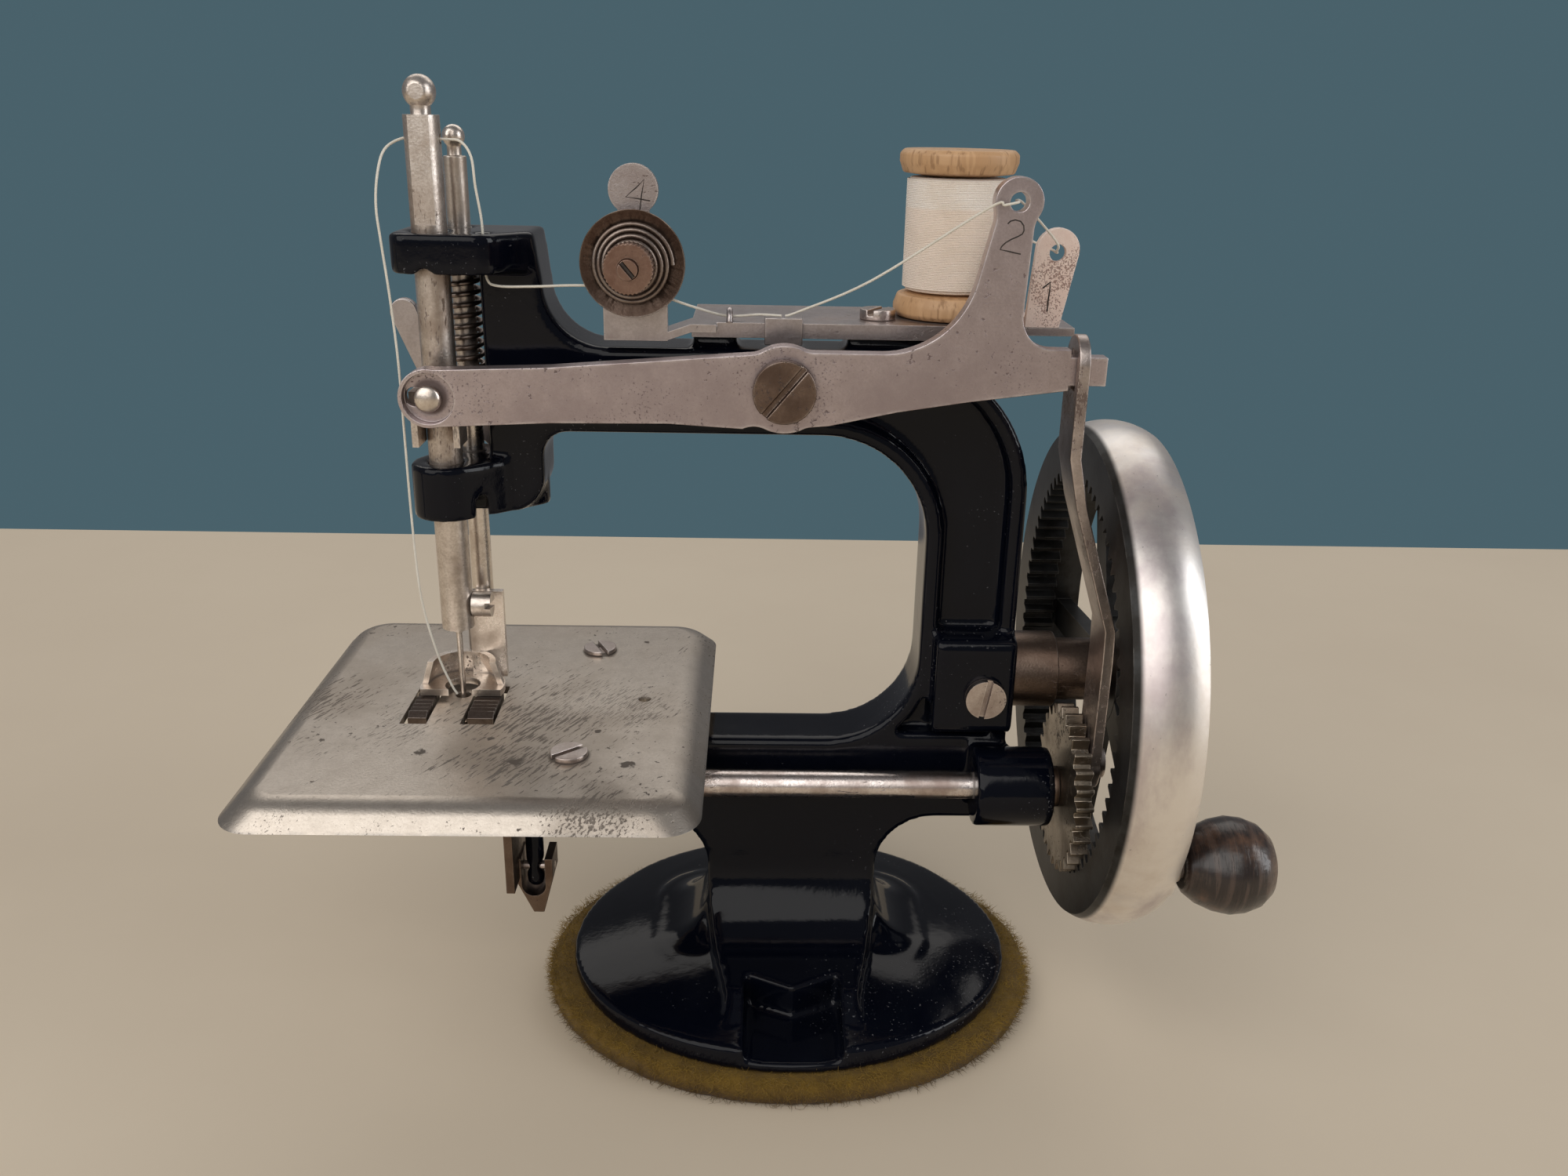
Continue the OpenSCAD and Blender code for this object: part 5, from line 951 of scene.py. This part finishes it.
def threadPiece(name, points, node, s):
    route = smoothRoute(points, s["perSpan"])
    path = newLine(name, s["diameter"] / 2, s["roundness"])
    addRoute(path, route)
    piece = fromLine(name, path)
    smoothAll(piece.data)
    finishWith(piece, "cottonThread")
    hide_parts(node)
    return piece


reelThread = threadPiece("threadReelToEye", threadSet["reelToEye"], "thread_take_up", threadSet)
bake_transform(reelThread)
clipThread = threadPiece("threadEyeToClip", threadSet["eyeToClip"], "thread_take_up", threadSet)
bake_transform(clipThread)
barThread = threadPiece("threadClipToBar", threadSet["clipToBar"], "thread_bar", threadSet)
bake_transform(barThread)
needleThread = threadPiece("threadBarToNeedle", threadSet["barToNeedle"], "thread_needle", threadSet)
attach(needleThread, "needle_bar")


# felt pad under the foot, with a nap of loose fibres along its rim
feltSet = {"w": 91, "d": 73, "t": 5, "segments": 160, "round": 1.5, "steps": 4, "rimBend": 1, "topSides": 8,
           "inset": 6, "rough": 0.16, "still": 0.2, "stir": (-1, 0.4), "seed": 11}
napSet = {"fibres": 11500, "length": (0.7, 1.9), "wire": 0.04, "bend": 0.3, "half": 0.5, "sunk": 0.2,
          "climb": (0.08, 1.7), "topInset": (0, 4), "sideInset": (0, 0.5), "topLift": (-0.2, 0.8),
          "sideLift": (-0.5, 0.5), "out": 0.8, "stray": (-0.4, 0.4), "curl": (-0.5, 0.5), "floor": 0.3,
          "taper": (1, 0.8, 0.3)}


def anyWay(draw, low, high):
    return Vector((draw.uniform(-1, 1), draw.uniform(-1, 1), draw.uniform(low, high)))


def feltPad(s):
    work = bmesh.new()
    bmesh.ops.create_circle(work, cap_ends=True, segments=s["segments"], radius=0.5)
    bmesh.ops.scale(work, vec=(s["w"] * mm, s["d"] * mm, 1), verts=work.verts)
    raised = bmesh.ops.extrude_face_region(work, geom=list(work.faces))
    lifted = [v for v in raised["geom"] if isinstance(v, bmesh.types.BMVert)]
    bmesh.ops.translate(work, vec=(0, 0, s["t"] * mm), verts=lifted)
    bmesh.ops.recalc_face_normals(work, faces=work.faces)
    rims = [e for e in work.edges if e.calc_face_angle(0) > s["rimBend"]]
    roundEdges(work, rims, s["round"], s["steps"])
    tops = [f for f in work.faces if len(f.verts) > s["topSides"]]
    bmesh.ops.inset_individual(work, faces=tops, thickness=s["inset"] * mm)
    draw = random.Random(s["seed"])
    for v in work.verts:
        if v.co.z > s["still"] * mm:
            v.co += anyWay(draw, *s["stir"]) * s["rough"] * mm
    return meshFrom("feltPad", work)


def feltNap(pad, s):
    draw = random.Random(pad["seed"])
    low, climb = s["climb"]
    path = newLine("feltNap", s["wire"], 0)
    path.use_fill_caps = False
    for i in range(s["fibres"]):
        turn = draw.uniform(0, 2 * math.pi)
        rise = draw.uniform(0, 1)
        top = rise > s["half"]
        inset = draw.uniform(*s["topInset" if top else "sideInset"])
        z = pad["t"] - s["sunk"] if top else pad["t"] * (low + rise * climb)
        out = Vector((math.cos(turn), math.sin(turn), 0))
        base = Vector(((pad["w"] / 2 - inset) * out.x, (pad["d"] / 2 - inset) * out.y, z))
        lift = draw.uniform(*s["topLift" if top else "sideLift"])
        lean = out * s["out"] + Vector((0, 0, lift)) + anyWay(draw, *s["stray"])
        reach = draw.uniform(*s["length"])
        tip = base + lean.normalized() * reach
        bend = (base + tip) / 2 + anyWay(draw, *s["curl"]) * reach * s["bend"]
        tip.z = max(tip.z, s["floor"])
        bend.z = max(bend.z, s["floor"])
        addRoute(path, (base, bend, tip), s["taper"])
    return fromLine("feltNap", path)


pad = settle(feltPad(feltSet), "frame", "felt", "feltWool", "felt_pad")
settle(feltNap(feltSet, napSet), "frame", "felt", "feltNap")
print("felt made")


# struck digits that number the thread's way: points across and up on the face at depth y
digitSet = {
    "digitOne": {"y": -3.5, "wire": 0.24, "body": "frame", "slot": "sheet_steel", "line": [
        (37.3, 132.2), (37.9, 132.7), (38.4, 133.2), (38.4, 131.6), (38.3, 130.1), (38.3, 128.6)]},
    "digitTwo": {"y": -13.4, "wire": 0.2, "body": "lever", "slot": "lever_steel", "line": [
        (29.1, 142.6), (29.5, 143), (30.2, 143.2), (31, 143), (31.5, 142.4), (31.6, 141.7), (31.4, 141.2),
        (30.7, 140.8), (29.8, 140.4), (29, 139.9), (28.5, 139.4), (28.3, 138.9), (29.9, 138.6),
        (31.4, 138.3)]},
    "digitFour": {"y": -6, "wire": 0.18, "body": "frame", "slot": "sheet_steel", "line": [
        (-25.6, 143.1), (-25.3, 145.3), (-24.9, 147.5), (-26.2, 146.2), (-27.7, 144.9), (-25.9, 144.7),
        (-24, 144.4)]},
}
strikeSet = {"sunk": 0.7, "roundness": 1}


def digitPiece(name, s, strike):
    path = newLine(name, s["wire"], strike["roundness"])
    addRoute(path, [(x, s["y"] + s["wire"] * strike["sunk"], z) for x, z in s["line"]])
    settle(fromLine(name, path), s["body"], s["slot"], "stampDirtAndSlotShade")


for name, s in digitSet.items():
    digitPiece(name, s, strikeSet)


# painted shade: a dark line along the slot in the tension stud's end
slotSet = {"centre": (-26.6, 135.4), "half": 1.35, "turn": 50, "wire": 0.3, "sunk": 0.3, "roundness": 1}


def slotShade(s):
    turn = math.radians(s["turn"])
    across = Vector((math.cos(turn), 0, -math.sin(turn)))
    middle = Vector((s["centre"][0], frontOf("tension_stud") + s["sunk"], s["centre"][1]))
    path = newLine("slotShade", s["wire"], s["roundness"])
    addRoute(path, (middle - across * s["half"], middle + across * s["half"]))
    settle(fromLine("slotShade", path), "frame", "tension_steel", "stampDirtAndSlotShade")


slotShade(slotSet)
print("digits struck")


# pale floor and soft studio light
stageSet = {"floor": (0.65, 0.555, 0.43), "shade": (0.62, 0.525, 0.405), "side": 2.4, "front": -2.4,
            "back": 0.27, "wall": (0.068, 0.12, 0.145), "shine": (0.16, 0.16, 0.165),
            "fill": (0.22, 0.225, 0.235), "grain": (5, 0.3, 0.7), "rough": 0.75}
lampSet = {
    "keySoftbox": {"place": (-0.5, -0.8, 0.8), "size": (1.7, 1.2), "power": 11.0, "tint": (1, 0.97, 0.93)},
    "sideWindow": {"place": (0.9, -0.25, 0.42), "size": (0.3, 0.8), "power": 3.0, "tint": (0.96, 0.98, 1)},
    "backSoftbox": {"place": (0, 0.7, 0.8), "size": (1.3, 0.6), "power": 2.6, "tint": (1, 0.95, 0.89)},
}
aimPoint = Vector((0, 0, 0.08))


def dressStage(s):
    work = bmesh.new()
    bmesh.ops.create_grid(work, x_segments=1, y_segments=1, size=1)
    middle, half = (s["back"] + s["front"]) / 2, (s["back"] - s["front"]) / 2
    bmesh.ops.scale(work, vec=(s["side"], half, 1), verts=work.verts)
    bmesh.ops.translate(work, vec=(0, middle, 0), verts=work.verts)
    floor = meshFrom("paleFloor", work)
    made, tree, shader = newMaterial("paleFloor")
    grain = cloudy(tree, s["grain"])
    mixed = mixColour(tree, grain["Mask"], s["floor"], s["shade"])
    tree.links.new(mixed, shader.inputs["Base Color"])
    shader.inputs["Roughness"].default_value = s["rough"]
    floor.data.materials.append(made)
    world = bpy.data.worlds.new("studioSky")
    scene.world = world
    world.use_nodes = True
    sky = world.node_tree
    back = next(n for n in sky.nodes if n.type == "BACKGROUND")
    rays = sky.nodes.new("ShaderNodeLightPath")
    lit = mixColour(sky, rays.outputs["Is Glossy Ray"], s["fill"], s["shine"])
    seen = mathNode(sky, "MAXIMUM", rays.outputs["Is Camera Ray"], rays.outputs["Is Transmission Ray"])
    sky.links.new(mixColour(sky, seen, lit, s["wall"]), back.inputs["Color"])


def softLamp(name, s):
    data = bpy.data.lights.new(name, "AREA")
    data.shape = "RECTANGLE"
    data.size, data.size_y = s["size"]
    data.energy = s["power"]
    data.color = s["tint"]
    lamp = linkNew(name, data)
    lamp.location = s["place"]
    lamp.rotation_mode = "QUATERNION"
    lamp.rotation_quaternion = (aimPoint - Vector(s["place"])).to_track_quat("-Z", "Y")


dressStage(stageSet)
for name, s in lampSet.items():
    softLamp(name, s)
print("stage dressed")
